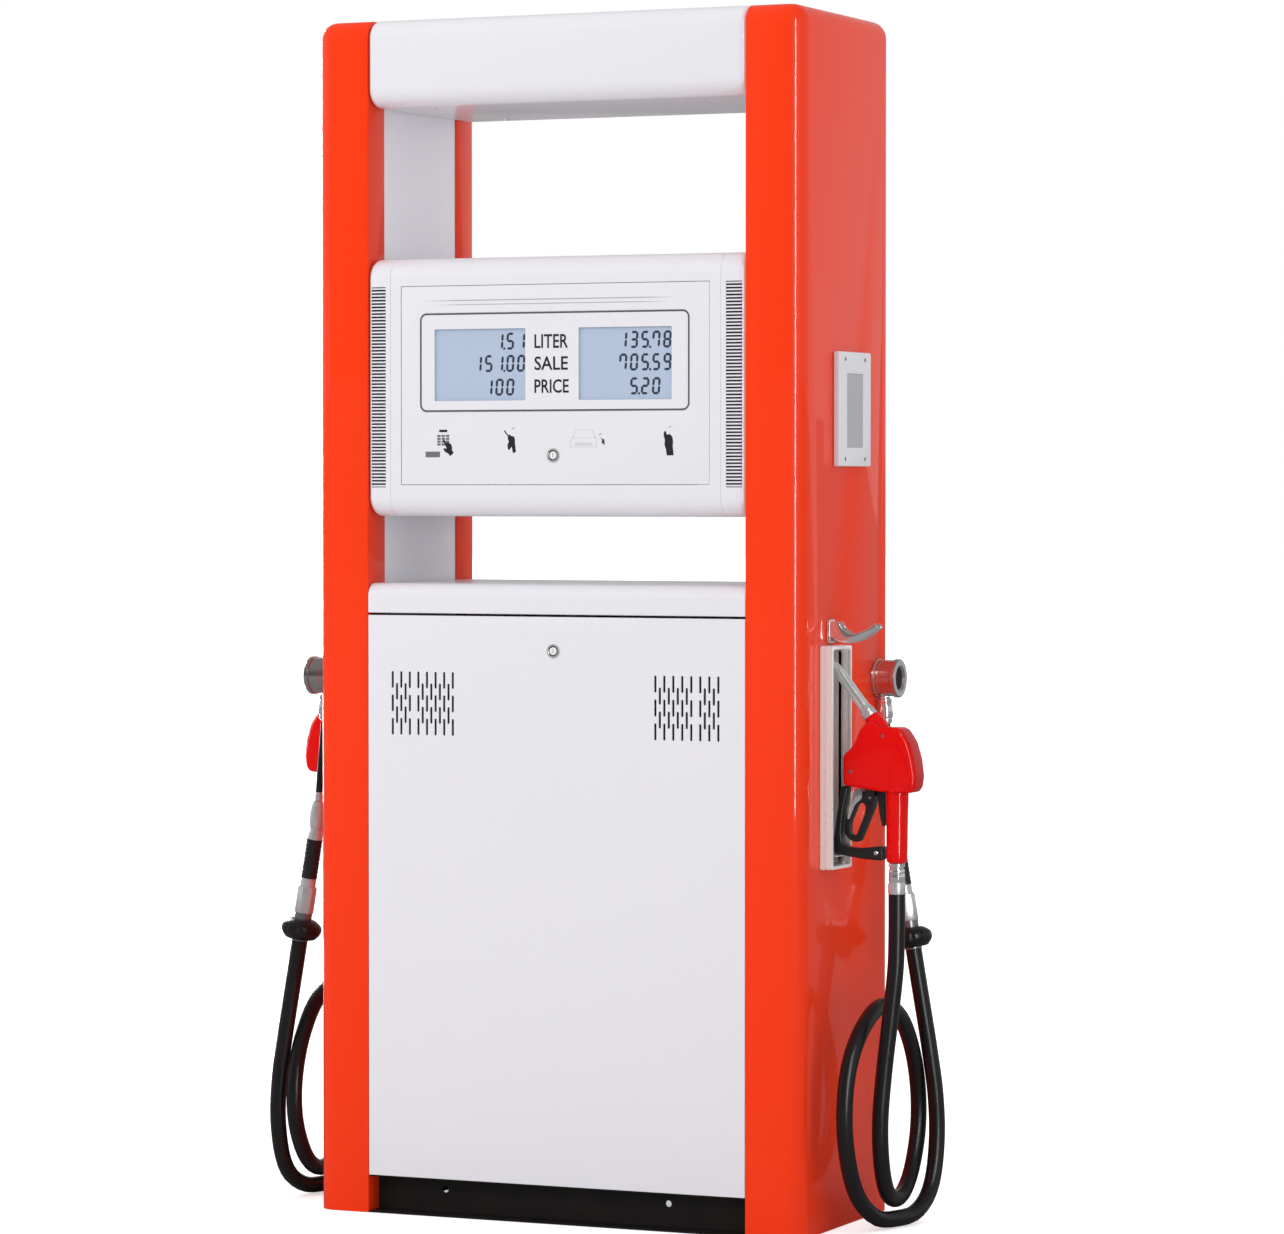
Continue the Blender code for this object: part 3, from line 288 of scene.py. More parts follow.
def makeFloor():
    values = {"radius": 90.0, "drop": 0.0005, "paint": 0.80, "lift": 0.55, "inMirrors": 0.20}
    shape = bmesh.new()
    bmesh.ops.create_circle(shape, cap_ends=True, segments=96, radius=values["radius"])
    mesh = bpy.data.meshes.new("studio_floor")
    shape.to_mesh(mesh)
    shape.free()
    floor = bpy.data.objects.new("studio_floor", mesh)
    floor.location.z = -values["drop"]
    bpy.context.scene.collection.objects.link(floor)
    material = bpy.data.materials.new("floorPaper")
    material.use_nodes = True
    tree = material.node_tree
    tree.nodes.clear()
    path = addNode(tree, "LightPath")
    tone = addNode(tree, "MapRange", None, {"To Min": values["paint"], "To Max": values["inMirrors"]},
                   {"Value": path.outputs["Is Glossy Ray"]})
    paper = addNode(tree, "BsdfDiffuse", feeds={"Color": tone.outputs["Result"]})
    scale = addNode(tree, "Math", "MULTIPLY", {1: values["lift"]}, {0: path.outputs["Is Camera Ray"]})
    lift = addNode(tree, "Emission", feeds={"Strength": scale.outputs[0]})
    both = addNode(tree, "AddShader", feeds={0: paper.outputs[0], 1: lift.outputs[0]})
    addNode(tree, "OutputMaterial", feeds={"Surface": both.outputs[0]})
    mesh.materials.append(material)
    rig.stage(floor)


bpy.context.scene.view_settings.view_transform = "Standard"
makeCamera()
makeWorld()
makeFloor()
makeLamp("keyPanel", (-3.2, -6.0, 4.7), (0, 0, 1.1), (3.2, 3.0), 125)
makeLamp("frontStrip", (2.46, -1.86, 1.52), (0.46, -0.20, 1.52), (0.24, 3.0), 64, inGloss=True)
makeLamp("rearStrip", (-2.46, 1.86, 1.52), (-0.46, 0.20, 1.52), (0.24, 3.0), 64, inGloss=True)
makeLamp("rearPanel", (0.0, 6.0, 4.2), (0, 0, 1.1), (3.0, 3.0), 38)
print("stage: camera, light and floor")


# shapes
def block(low, high, radius=0.0, steps=3, along="XYZ"):
    # a box, with the edges that run along the named axes rounded
    low, high = Vector(low), Vector(high)
    shape = bmesh.new()
    bmesh.ops.create_cube(shape, size=1.0)
    bmesh.ops.scale(shape, vec=high - low, verts=shape.verts)
    bmesh.ops.translate(shape, vec=(low + high) / 2, verts=shape.verts)
    if radius:
        edges = [e for e in shape.edges if edgeAxis(e) in along]
        roundEdges(shape, edges, radius, steps)
    return shape


def edgeAxis(edge):
    line = edge.verts[1].co - edge.verts[0].co
    return "XYZ"[max(range(3), key=lambda i: abs(line[i]))]


def roundEdges(shape, edges, radius, steps=3):
    bmesh.ops.bevel(shape, geom=edges, offset=radius, segments=steps, profile=0.5, affect="EDGES",
                    material=-1, clamp_overlap=True)


def plate(outline, axis, start, end, radius=0.0, steps=2):
    # an outline extruded along an axis; across Y the outline is (x, z)
    place = {"X": lambda p: (start, *p), "Y": lambda p: (p[0], start, p[1]), "Z": lambda p: (*p, start)}[axis]
    shape = bmesh.new()
    face = shape.faces.new([shape.verts.new(place(p)) for p in outline])
    made = bmesh.ops.extrude_face_region(shape, geom=[face])
    shift = Vector([end - start if name == axis else 0 for name in "XYZ"])
    moved = [v for v in made["geom"] if isinstance(v, bmesh.types.BMVert)]
    bmesh.ops.translate(shape, vec=shift, verts=moved)
    bmesh.ops.recalc_face_normals(shape, faces=shape.faces)
    if radius:
        rims = [e for e in shape.edges if abs((e.verts[1].co - e.verts[0].co)["XYZ".index(axis)]) < 1e-9]
        roundEdges(shape, rims, radius, steps)
    return shape


def lathe(profile, start, direction, steps=48, ring=False):
    # a turned solid from (radius, distance) points, closed down to its axis, or a ring
    start = Vector(start)
    direction = Vector(direction).normalized()
    first = [(0, profile[0][1])] if profile[0][0] > 0 and not ring else []
    last = [(0, profile[-1][1])] if profile[-1][0] > 0 and not ring else []
    shape = bmesh.new()
    chain = [shape.verts.new((radius, 0, distance)) for radius, distance in first + profile + last]
    edges = [shape.edges.new(pair) for pair in zip(chain, chain[1:])]
    if ring:
        edges.append(shape.edges.new((chain[-1], chain[0])))
    bmesh.ops.spin(shape, geom=chain + edges, cent=(0, 0, 0), axis=(0, 0, 1), angle=math.tau,
                   steps=steps, use_merge=True)
    bmesh.ops.remove_doubles(shape, verts=shape.verts, dist=1e-6)
    bmesh.ops.recalc_face_normals(shape, faces=shape.faces)
    turn = direction.to_track_quat("Z", "Y").to_matrix().to_4x4()
    bmesh.ops.transform(shape, matrix=Matrix.Translation(start) @ turn, verts=shape.verts)
    return shape


def rod(radius, start, end, edge=0.0, steps=32):
    start, end = Vector(start), Vector(end)
    length = (end - start).length
    profile = [(radius, edge), (radius, length - edge)]
    if edge:
        profile = [(radius - edge, 0), *profile, (radius - edge, length)]
    return lathe(profile, start, end - start, steps)


def arcPoints(centre, radius, first, last, steps):
    angles = [math.radians(first + (last - first) * i / steps) for i in range(steps + 1)]
    return [(centre[0] + radius * math.cos(a), centre[1] + radius * math.sin(a)) for a in angles]


def roundedRect(low, high, radius, steps=6):
    # one radius, or four of them from the corner where both values are high, anticlockwise
    radii = radius if isinstance(radius, tuple) else (radius,) * 4
    corners = ((high[0], high[1], -1, -1, 0), (low[0], high[1], 1, -1, 90),
               (low[0], low[1], 1, 1, 180), (high[0], low[1], -1, 1, 270))
    points = []
    for (x, z, signX, signZ, first), r in zip(corners, radii):
        points += arcPoints((x + signX * r, z + signZ * r), r, first, first + 90, steps) if r else [(x, z)]
    return points


def curveTube(points, radius, sides=5, caps=True):
    # a round bar along points, by way of a bevelled curve
    curve = bpy.data.curves.new("bar", "CURVE")
    curve.dimensions = "3D"
    curve.bevel_depth = radius
    curve.bevel_resolution = sides
    curve.use_fill_caps = caps
    spline = curve.splines.new("POLY")
    spline.points.add(len(points) - 1)
    for place, point in zip(spline.points, points):
        place.co = (*point, 1.0)
    holder = bpy.data.objects.new("bar", curve)
    bpy.context.scene.collection.objects.link(holder)
    shape = evaluated(holder)
    bmesh.ops.remove_doubles(shape, verts=shape.verts, dist=1e-6)
    bmesh.ops.recalc_face_normals(shape, faces=shape.faces)
    return shape


def evaluated(holder):
    # the object's mesh with its modifiers applied, and the object removed
    graph = bpy.context.evaluated_depsgraph_get()
    mesh = bpy.data.meshes.new_from_object(holder.evaluated_get(graph))
    shape = bmesh.new()
    shape.from_mesh(mesh)
    bpy.data.meshes.remove(mesh)
    old = holder.data
    bpy.data.objects.remove(holder, do_unlink=True)
    (bpy.data.meshes if isinstance(old, bpy.types.Mesh) else bpy.data.curves).remove(old)
    return shape


def asObject(shape, name="shape"):
    mesh = bpy.data.meshes.new(name)
    shape.to_mesh(mesh)
    shape.free()
    holder = bpy.data.objects.new(name, mesh)
    bpy.context.scene.collection.objects.link(holder)
    return holder


def carve(shape, *cutters):
    target = asObject(shape)
    tools = [asObject(cutter, "cutter") for cutter in cutters]
    for tool in tools:
        cut = target.modifiers.new("cut", "BOOLEAN")
        cut.operation = "DIFFERENCE"
        cut.object = tool
    carved = evaluated(target)
    for tool in tools:
        mesh = tool.data
        bpy.data.objects.remove(tool, do_unlink=True)
        bpy.data.meshes.remove(mesh)
    return carved


def rounded(shape, angle=40, radius=0.0005, steps=2):
    # breaks the sharp edges of a finished shape
    limit = math.radians(angle)
    edges = [e for e in shape.edges if len(e.link_faces) == 2 and e.calc_face_angle() > limit]
    roundEdges(shape, edges, radius, steps)
    return shape


def newPiece():
    return bmesh.new()


def add(piece, shape, finish=0):
    for face in shape.faces:
        face.material_index = finish
    mesh = bpy.data.meshes.new("added")
    shape.to_mesh(mesh)
    shape.free()
    piece.from_mesh(mesh)
    bpy.data.meshes.remove(mesh)


def finishPiece(name, piece, finishes, slotName, side="", body="dispenser", replacing=True, smooth=32):
    # a visible piece in place of the node that its slot is named for; the left and the rear are turned
    ending = f"_{side}" if side else ""
    if side in turnedSides:
        bmesh.ops.transform(piece, matrix=halfTurn, verts=piece.verts)
    mesh = bpy.data.meshes.new(name + ending)
    piece.to_mesh(mesh)
    piece.free()
    for finish in finishes:
        mesh.materials.append(finish)
    mesh.shade_smooth()
    mesh.set_sharp_from_angle(angle=math.radians(smooth))
    made = bpy.data.objects.new(name + ending, mesh)
    bpy.context.scene.collection.objects.link(made)
    if body:
        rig.ride(made, body)
    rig.slot(made, slotName)
    if replacing:
        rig.replaces(made, slotName + ending)
    return made


# surface effects, each a group used by several finishes
def newGroup(name, inputs, outputs):
    group = bpy.data.node_groups.new(name, "ShaderNodeTree")
    for label, kind, value in inputs:
        socket = group.interface.new_socket(name=label, in_out="INPUT", socket_type="NodeSocket" + kind)
        socket.default_value = value
    for label, kind in outputs:
        group.interface.new_socket(name=label, in_out="OUTPUT", socket_type="NodeSocket" + kind)
    return group, group.nodes.new("NodeGroupInput"), group.nodes.new("NodeGroupOutput")


def centredNoise(group, noise):
    return addNode(group, "Math", "SUBTRACT", {1: 0.5}, {0: noise.outputs["Fac"]}).outputs[0]


def driftSurface(group, given, result, tones, smears, amount, depth, distance):
    # the given colour and gloss, both drifting with noise, and a bump from the finer noise
    tint = addNode(group, "Math", "MULTIPLY_ADD", {2: 1.0},
                   {0: centredNoise(group, tones), 1: given.outputs[amount]})
    shade = addNode(group, "VectorMath", "SCALE", {},
                    {0: given.outputs["Colour"], "Scale": tint.outputs[0]})
    rough = addNode(group, "Math", "MULTIPLY_ADD", {},
                    {0: centredNoise(group, smears), 1: given.outputs["Gloss drift"],
                     2: given.outputs["Gloss"]})
    rough.use_clamp = True
    group.links.new(shade.outputs[0], result.inputs["Colour"])
    group.links.new(rough.outputs[0], result.inputs["Roughness"])
    bump = addNode(group, "Bump", None, {"Distance": distance},
                   {"Strength": given.outputs[depth[0]], "Height": depth[1].outputs["Fac"]})
    group.links.new(bump.outputs["Normal"], result.inputs["Normal"])


surfaceOutputs = [("Colour", "Color"), ("Roughness", "Float"), ("Normal", "Vector")]


def makeSkinGroup():
    # a painted, moulded or cast skin: faint colour drift, uneven gloss and a fine dimpled surface
    group, given, result = newGroup(
        "dimpledSkin",
        [("Colour", "Color", (0.5, 0.5, 0.5, 1)), ("Drift", "Float", 0.04), ("Gloss", "Float", 0.3),
         ("Gloss drift", "Float", 0.08), ("Dimple scale", "Float", 300.0), ("Dimple depth", "Float", 0.05)],
        surfaceOutputs)
    where = addNode(group, "TexCoord").outputs["Object"]
    broad = addNode(group, "TexNoise", None, {"Scale": 3.5, "Detail": 5.0}, {"Vector": where})
    fine = addNode(group, "TexNoise", None, {"Detail": 2.0},
                   {"Vector": where, "Scale": given.outputs["Dimple scale"]})
    driftSurface(group, given, result, broad, broad, "Drift", ("Dimple depth", fine), 0.001)
    return group


def makeGrainGroup():
    # drawn or machined metal: fine lines stretched along one direction, with smears in its gloss
    group, given, result = newGroup(
        "metalGrain",
        [("Colour", "Color", (0.6, 0.6, 0.6, 1)), ("Stretch", "Vector", (1, 1, 30)), ("Scale", "Float", 60.0),
         ("Tone", "Float", 0.25), ("Gloss", "Float", 0.25), ("Gloss drift", "Float", 0.2),
         ("Depth", "Float", 0.05)],
        surfaceOutputs)
    where = addNode(group, "TexCoord").outputs["Object"]
    stretched = addNode(group, "VectorMath", "MULTIPLY", {}, {0: where, 1: given.outputs["Stretch"]})
    lines = addNode(group, "TexNoise", None, {"Detail": 4.0},
                    {"Vector": stretched.outputs[0], "Scale": given.outputs["Scale"]})
    smears = addNode(group, "TexNoise", None, {"Scale": 22.0, "Detail": 3.0}, {"Vector": where})
    driftSurface(group, given, result, lines, smears, "Tone", ("Depth", lines), 0.0006)
    return group


def makeGrimeGroup():
    # road film that thins out upwards from the ground, broken up by noise
    group, given, result = newGroup(
        "groundFilm",
        [("Colour", "Color", (0.5, 0.5, 0.5, 1)), ("Film", "Color", (0.20, 0.17, 0.14, 1)),
         ("Reach", "Float", 0.25), ("Amount", "Float", 0.25)],
        [("Colour", "Color"), ("Mask", "Float")])
    where = addNode(group, "TexCoord").outputs["Object"]
    split = addNode(group, "SeparateXYZ", feeds={0: where})
    height = addNode(group, "MapRange", None, {"From Min": 0.0, "To Min": 1.0, "To Max": 0.0},
                     {"Value": split.outputs["Z"], "From Max": given.outputs["Reach"]})
    noise = addNode(group, "TexNoise", None, {"Scale": 16.0, "Detail": 6.0}, {"Vector": where})
    patches = addNode(group, "Math", "MULTIPLY", {}, {0: height.outputs["Result"], 1: noise.outputs["Fac"]})
    mask = addNode(group, "Math", "MULTIPLY", {}, {0: patches.outputs[0], 1: given.outputs["Amount"]})
    mask.use_clamp = True
    mixed = addNode(group, "Mix")
    mixed.data_type = "RGBA"
    for socket, source in ((0, mask.outputs[0]), (6, given.outputs["Colour"]), (7, given.outputs["Film"])):
        group.links.new(source, mixed.inputs[socket])
    group.links.new(mixed.outputs[2], result.inputs["Colour"])
    group.links.new(mask.outputs[0], result.inputs["Mask"])
    return group


skinGroup = makeSkinGroup()
grainGroup = makeGrainGroup()
grimeGroup = makeGrimeGroup()


def useGroup(material, group, values):
    node = material.node_tree.nodes.new("ShaderNodeGroup")
    node.node_tree = group
    for label, value in values.items():
        node.inputs[label].default_value = value
    return node


def newFinish(name):
    material = bpy.data.materials.new(name)
    material.use_nodes = True
    return material, material.node_tree.links, material.node_tree.nodes["Principled BSDF"]


def skinFinish(name, colour, gloss, drift=0.04, glossDrift=0.06, scale=300.0, depth=0.04, coat=0.0,
               coatGloss=0.06, film=0.0, metallic=0.0, specular=0.5):
    material, links, shader = newFinish(name)
    skin = useGroup(material, skinGroup, {"Colour": (*colour, 1), "Drift": drift, "Gloss": gloss,
                                          "Gloss drift": glossDrift, "Dimple scale": scale,
                                          "Dimple depth": depth})
    colourOut = skin.outputs["Colour"]
    if film:
        grime = useGroup(material, grimeGroup, {"Amount": film})
        links.new(colourOut, grime.inputs["Colour"])
        colourOut = grime.outputs["Colour"]
    links.new(colourOut, shader.inputs["Base Color"])
    links.new(skin.outputs["Roughness"], shader.inputs["Roughness"])
    links.new(skin.outputs["Normal"], shader.inputs["Normal"])
    shader.inputs["Metallic"].default_value = metallic
    shader.inputs["Specular IOR Level"].default_value = specular
    shader.inputs["Coat Weight"].default_value = coat
    shader.inputs["Coat Roughness"].default_value = coatGloss
    return material


def metalFinish(name, colour, gloss, stretch=(1, 1, 30), scale=60.0, tone=0.2, glossDrift=0.12, depth=0.03,
                metallic=0.75):
    material, links, shader = newFinish(name)
    grain = useGroup(material, grainGroup, {"Colour": (*colour, 1), "Stretch": stretch, "Scale": scale,
                                            "Tone": tone, "Gloss": gloss, "Gloss drift": glossDrift,
                                            "Depth": depth})
    links.new(grain.outputs["Colour"], shader.inputs["Base Color"])
    links.new(grain.outputs["Roughness"], shader.inputs["Roughness"])
    links.new(grain.outputs["Normal"], shader.inputs["Normal"])
    shader.inputs["Metallic"].default_value = metallic
    return material


orangePaint = skinFinish("orangePaint", (0.89, 0.037, 0.0008), 0.40, drift=0.03, scale=420, depth=0.03,
                         coat=0.58, coatGloss=0.035, film=0.02, specular=0.1)
whitePaint = skinFinish("whitePaint", (0.735, 0.73, 0.765), 0.36, drift=0.02, scale=420, depth=0.03,
                        coat=0.35, coatGloss=0.08, film=0.05, specular=0.3)
# the riser's white is a brighter copy of the white paint, painted light that makes up for the dimmer light on sideways
# faces
riserPaint = skinFinish("riserPaint", (0.90, 0.90, 0.94), 0.42, drift=0.02, scale=420, depth=0.03)
plinthPaint = skinFinish("plinthPaint", (0.009, 0.007, 0.007), 0.50, drift=0.4, scale=260, depth=0.10,
                         film=0.06, specular=0.2)
greyPaint = skinFinish("greyPaint", (0.22, 0.24, 0.25), 0.45, scale=300, depth=0.06)
motorPaint = skinFinish("motorPaint", (0.025, 0.085, 0.17), 0.40, scale=200, depth=0.10)
redMoulding = skinFinish("redMoulding", (0.70, 0.0012, 0.0010), 0.30, drift=0.05, scale=500, depth=0.02,
                         coat=0.5, coatGloss=0.08, specular=0.05)
# a darker copy of the red moulding, painted shade for the nozzle's turned-away rear cover
darkRedMoulding = skinFinish("darkRedMoulding", (0.52, 0.012, 0.012), 0.34, scale=500, depth=0.04,
                             specular=0.2)
blackMoulding = skinFinish("blackMoulding", (0.012, 0.012, 0.013), 0.38, drift=0.2, scale=700, depth=0.10)
blackRubber = skinFinish("blackRubber", (0.009, 0.008, 0.009), 0.30, drift=0.25, scale=900, depth=0.10,
                         specular=0.35)
beltRubber = skinFinish("beltRubber", (0.020, 0.019, 0.018), 0.70, drift=0.3, scale=1400, depth=0.30)
printInk = skinFinish("printInk", (0.016, 0.016, 0.020), 0.55, scale=900, depth=0.02)
greyInk = skinFinish("greyInk", (0.15, 0.15, 0.17), 0.55, scale=900, depth=0.02)
shadowGap = skinFinish("shadowGap", (0.008, 0.008, 0.009), 0.80, scale=200, depth=0.05)
lcdField = skinFinish("lcdField", (0.42, 0.51, 0.645), 0.22, drift=0.03, scale=900, depth=0.01, coat=0.4,
                      coatGloss=0.03)
lcdInk = skinFinish("lcdInk", (0.030, 0.036, 0.068), 0.35, scale=900, depth=0.01)
plateInk = skinFinish("plateInk", (0.085, 0.085, 0.095), 0.50, scale=900, depth=0.02)
lineInk = skinFinish("lineInk", (0.40, 0.40, 0.42), 0.50, scale=900, depth=0.02)
faintInk = skinFinish("faintInk", (0.60, 0.60, 0.64), 0.50, scale=900, depth=0.02)
labelField = skinFinish("labelField", (0.42, 0.42, 0.44), 0.35, drift=0.06, scale=500, depth=0.02, coat=0.3)
boardLacquer = skinFinish("boardLacquer", (0.012, 0.11, 0.045), 0.35, drift=0.3, scale=160, depth=0.05)
castAlloy = skinFinish("castAlloy", (0.42, 0.43, 0.44), 0.48, drift=0.15, glossDrift=0.2, scale=520,
                       depth=0.35, metallic=1.0)
castIron = skinFinish("castIron", (0.055, 0.055, 0.058), 0.55, drift=0.3, glossDrift=0.2, scale=420,
                      depth=0.40, metallic=0.6)
chrome = metalFinish("chrome", (0.82, 0.82, 0.83), 0.13, tone=0.06, glossDrift=0.10, depth=0.006,
                     metallic=0.85)
# a near-white, mostly matte sheet; on the lock barrel it is a painted highlight for the glint on chrome
brightSheet = metalFinish("brightSheet", (0.90, 0.88, 0.86), 0.28, stretch=(1, 1, 30), scale=40, tone=0.03,
                          glossDrift=0.05, depth=0.004, metallic=0.15)
panSheet = metalFinish("panSheet", (0.70, 0.65, 0.64), 0.34, stretch=(1, 1, 30), scale=40, tone=0.05,
                       glossDrift=0.05, depth=0.004, metallic=0.25)
spoutAlloy = metalFinish("spoutAlloy", (0.90, 0.90, 0.91), 0.14, tone=0.04, glossDrift=0.06, depth=0.004,
                         metallic=0.7)
# chrome for the outlet's cylinder, tinted warm: the tint is a painted reflection of the orange column
outletChrome = metalFinish("outletChrome", (0.58, 0.52, 0.51), 0.12, tone=0.05, glossDrift=0.06, depth=0.004,
                           metallic=0.95)
satinSteel = metalFinish("satinSteel", (0.62, 0.62, 0.63), 0.30, stretch=(1, 1, 25), tone=0.15, metallic=0.6)
darkSteel = metalFinish("darkSteel", (0.24, 0.24, 0.25), 0.35, stretch=(1, 1, 25), tone=0.2)
zincSteel = metalFinish("zincSteel", (0.60, 0.60, 0.55), 0.38, stretch=(1, 1, 6), scale=30, tone=0.30)
brassMetal = metalFinish("brassMetal", (0.62, 0.42, 0.14), 0.30, stretch=(1, 1, 20), tone=0.15)
print("stage: finishes")


# hoses, from the breakaway to the nozzle's swivel
chainValues = {"top": (0.014, 0.9555), "knuckle": (0.037, 0.700), "end": (0.070, 0.505),
               "ringLead": 0.027, "ringHeight": 0.036, "fit": 0.0003}
hoseValues = {
    "radius": 0.015, "step": 0.018, "bendStart": (0.110, -0.088, 0.318), "bendWay": (0.119, -0.0714, 0.0952),
    # distance out from the column's face, place along the depth, height
    "route": [
        (0.078, 0.150, 0.458), (0.089, 0.150, 0.395), (0.102, 0.152, 0.315), (0.114, 0.154, 0.225),
        (0.118, 0.150, 0.140), (0.117, 0.122, 0.060), (0.110, 0.068, 0.022), (0.095, 0.010, 0.0158),
        (0.077, -0.050, 0.024), (0.064, -0.112, 0.072), (0.058, -0.146, 0.150), (0.058, -0.157, 0.230),
        (0.061, -0.140, 0.310), (0.066, -0.086, 0.372), (0.070, -0.005, 0.402), (0.074, 0.072, 0.378),
        (0.077, 0.128, 0.314), (0.078, 0.158, 0.235), (0.078, 0.158, 0.160), (0.080, 0.122, 0.093),
        (0.084, 0.072, 0.058), (0.090, 0.012, 0.050), (0.096, -0.046, 0.072), (0.100, -0.082, 0.125),
        (0.101, -0.092, 0.200), (0.107, -0.089, 0.290), (0.118, -0.086, 0.390), (0.1275, -0.085, 0.480),
        (0.1295, -0.085, 0.550),
    ],
}


def chainPoint(name):
    out, z = chainValues[name]
    return Vector((columnFace + out, outletY, z))


chainTop, chainKnuckle, chainEnd = chainPoint("top"), chainPoint("knuckle"), chainPoint("end")
upperWay = (chainKnuckle - chainTop).normalized()
lowerWay = (chainEnd - chainKnuckle).normalized()
ringStart = (chainEnd - chainKnuckle).length - chainValues["ringLead"]
neckEnd = ringStart + chainValues["ringHeight"] + 0.004
hoseExit = chainKnuckle + lowerWay * (neckEnd + chainValues["fit"])
swivelLow, swivelHigh = lowOf("nozzle_swivel_right"), highOf("nozzle_swivel_right")
swivelX = (swivelLow.x + swivelHigh.x) / 2


def smoothRoute(points, step):
    fine = [points[0]]
    for i in range(len(points) - 1):
        first, last = points[i], points[i + 1]
        span = (last - first).length
        slopes = []
        for j in (i, i + 1):
            before, after = points[max(j - 1, 0)], points[min(j + 1, len(points) - 1)]
            slopes.append((after - before).normalized() * span)
        for k in range(1, 17):
            t = k / 16
            fine.append(first * (2 * t**3 - 3 * t**2 + 1) + slopes[0] * (t**3 - 2 * t**2 + t)
                        + last * (3 * t**2 - 2 * t**3) + slopes[1] * (t**3 - t**2))
    reached = [0.0]
    for first, last in zip(fine, fine[1:]):
        reached.append(reached[-1] + (last - first).length)
    count = round(reached[-1] / step)
    spaced, at = [], 0
    for i in range(count + 1):
        target = reached[-1] * i / count
        while at < len(fine) - 2 and reached[at + 1] < target:
            at += 1
        share = (target - reached[at]) / (reached[at + 1] - reached[at])
        spaced.append(fine[at].lerp(fine[at + 1], share))
    return spaced


def makeHose(side):
    route = [hoseExit] + [Vector((columnFace + out, y, z)) for out, y, z in hoseValues["route"]]
    route.append(Vector((swivelX, nozzleY, swivelLow.z - chainValues["fit"])))
    points = smoothRoute(route, hoseValues["step"])
    piece = newPiece()
    add(piece, curveTube(points, hoseValues["radius"], 6))
    hose = finishPiece("hose_line", piece, [blackRubber], "hose", side, None)
    # the last rise follows the nozzle when it is pulled, and the rest stays
    start = Vector((columnFace, 0, 0)) + Vector(hoseValues["bendStart"])
    end = start + Vector(hoseValues["bendWay"])
    if side in turnedSides:
        points, start, end = [halfTurn @ p for p in points], halfTurn @ start, halfTurn @ end
    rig.blend(hose, "dispenser", f"nozzle_{side}", start=start, end=end)
    length = sum((b - a).length for a, b in zip(points, points[1:]))
    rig.cord(hose, exit=points[0], length=length, diameter=2 * hoseValues["radius"], far_end="object",
            stiffness="medium", lay="hanging", path=points)
    print("hose", side, "length", round(length, 3))


for side in columnSides:
    makeHose(side)
print("stage: hoses")


# the hose's fittings: outlet with sight glass, swivel and whip, breakaway, guard ring
def makeOutlet(side):
    values = {"length": 0.045, "radius": 0.0335, "rim": 0.0355, "rimWidth": 0.009, "bore": 0.0205}
    piece = newPiece()
    face = columnFace + chainValues["fit"]
    centre = (face, outletY, outletHeight)
    r, rim, end = values["radius"], values["rim"], values["length"]
    start = end - values["rimWidth"]
    # the cylinder takes the warm-tinted chrome, a painted reflection of the orange column
    add(piece, lathe([(rim, 0.0005), (rim, 0.004), (r, 0.0055), (r, 0.012), (r - 0.0006, 0.0125),
                      (r - 0.0006, 0.0138), (r, 0.0143), (r, start - 0.0012), (r - 0.0008, start - 0.0006),
                      (r - 0.0008, start), (rim - 0.0005, start), (rim, start + 0.0006),
                      (rim, end - 0.0015), (rim - 0.0015, end), (values["bore"] + 0.004, end),
                      (values["bore"], end - 0.004), (values["bore"], end - 0.010)], centre, (1, 0, 0), 64),
        3)
    add(piece,
        lathe([(values["bore"] + 0.0035, end - 0.0010), (rim - 0.0020, end - 0.0010),
               (rim - 0.0022, end + 0.0003), (values["bore"] + 0.0037, end + 0.0003)], centre, (1, 0, 0),
              64, ring=True))
    add(piece, lathe([(values["bore"] - 0.0005, end - 0.0098), (values["bore"] - 0.0005, end - 0.0068),
                      (0.0125, end - 0.0062), (0.010, end - 0.0082)], centre, (1, 0, 0), 48), 1)
    boss = chainTop - upperWay * 0.006
    add(piece, lathe([(0.0115, -0.006), (0.0115, 0.0035), (0.0098, 0.0055)], boss, upperWay, 40))
    for angle in range(0, 360, 60):
        a = math.radians(angle + 30)
        spot = Vector((face + end - 0.0003, outletY + 0.0285 * math.cos(a), centre[2] + 0.0285 * math.sin(a)))
        add(piece, lathe([(0.0017, 0), (0.0017, 0.0003), (0.0014, 0.0005)], spot, (1, 0, 0), 12), 2)
    finishPiece("outlet_body", piece, [satinSteel, shadowGap, darkSteel, outletChrome], "sight_glass", side)


def makeWhip(side):
    piece = newPiece()
    add(piece,
        lathe([(0.0100, 0.0006), (0.0100, 0.003), (0.0128, 0.0045), (0.0128, 0.0105), (0.0118, 0.0125),
               (0.0118, 0.0150), (0.0128, 0.0165), (0.0130, 0.0180), (0.0130, 0.036), (0.0122, 0.0385),
               (0.0105, 0.0405), (0.0105, 0.0460), (0.0085, 0.0500)], chainTop, upperWay, 48))
    add(piece, lathe([(0.0068, 0.0480), (0.0068, 0.188)], chainTop, upperWay, 32), 1)
    add(piece, lathe([(0.0070, 0.1850), (0.0070, 0.2015)], chainTop, upperWay, 32), 2)
    finishPiece("hose_whip", piece, [chrome, blackRubber, satinSteel], "hose_swivel", side)


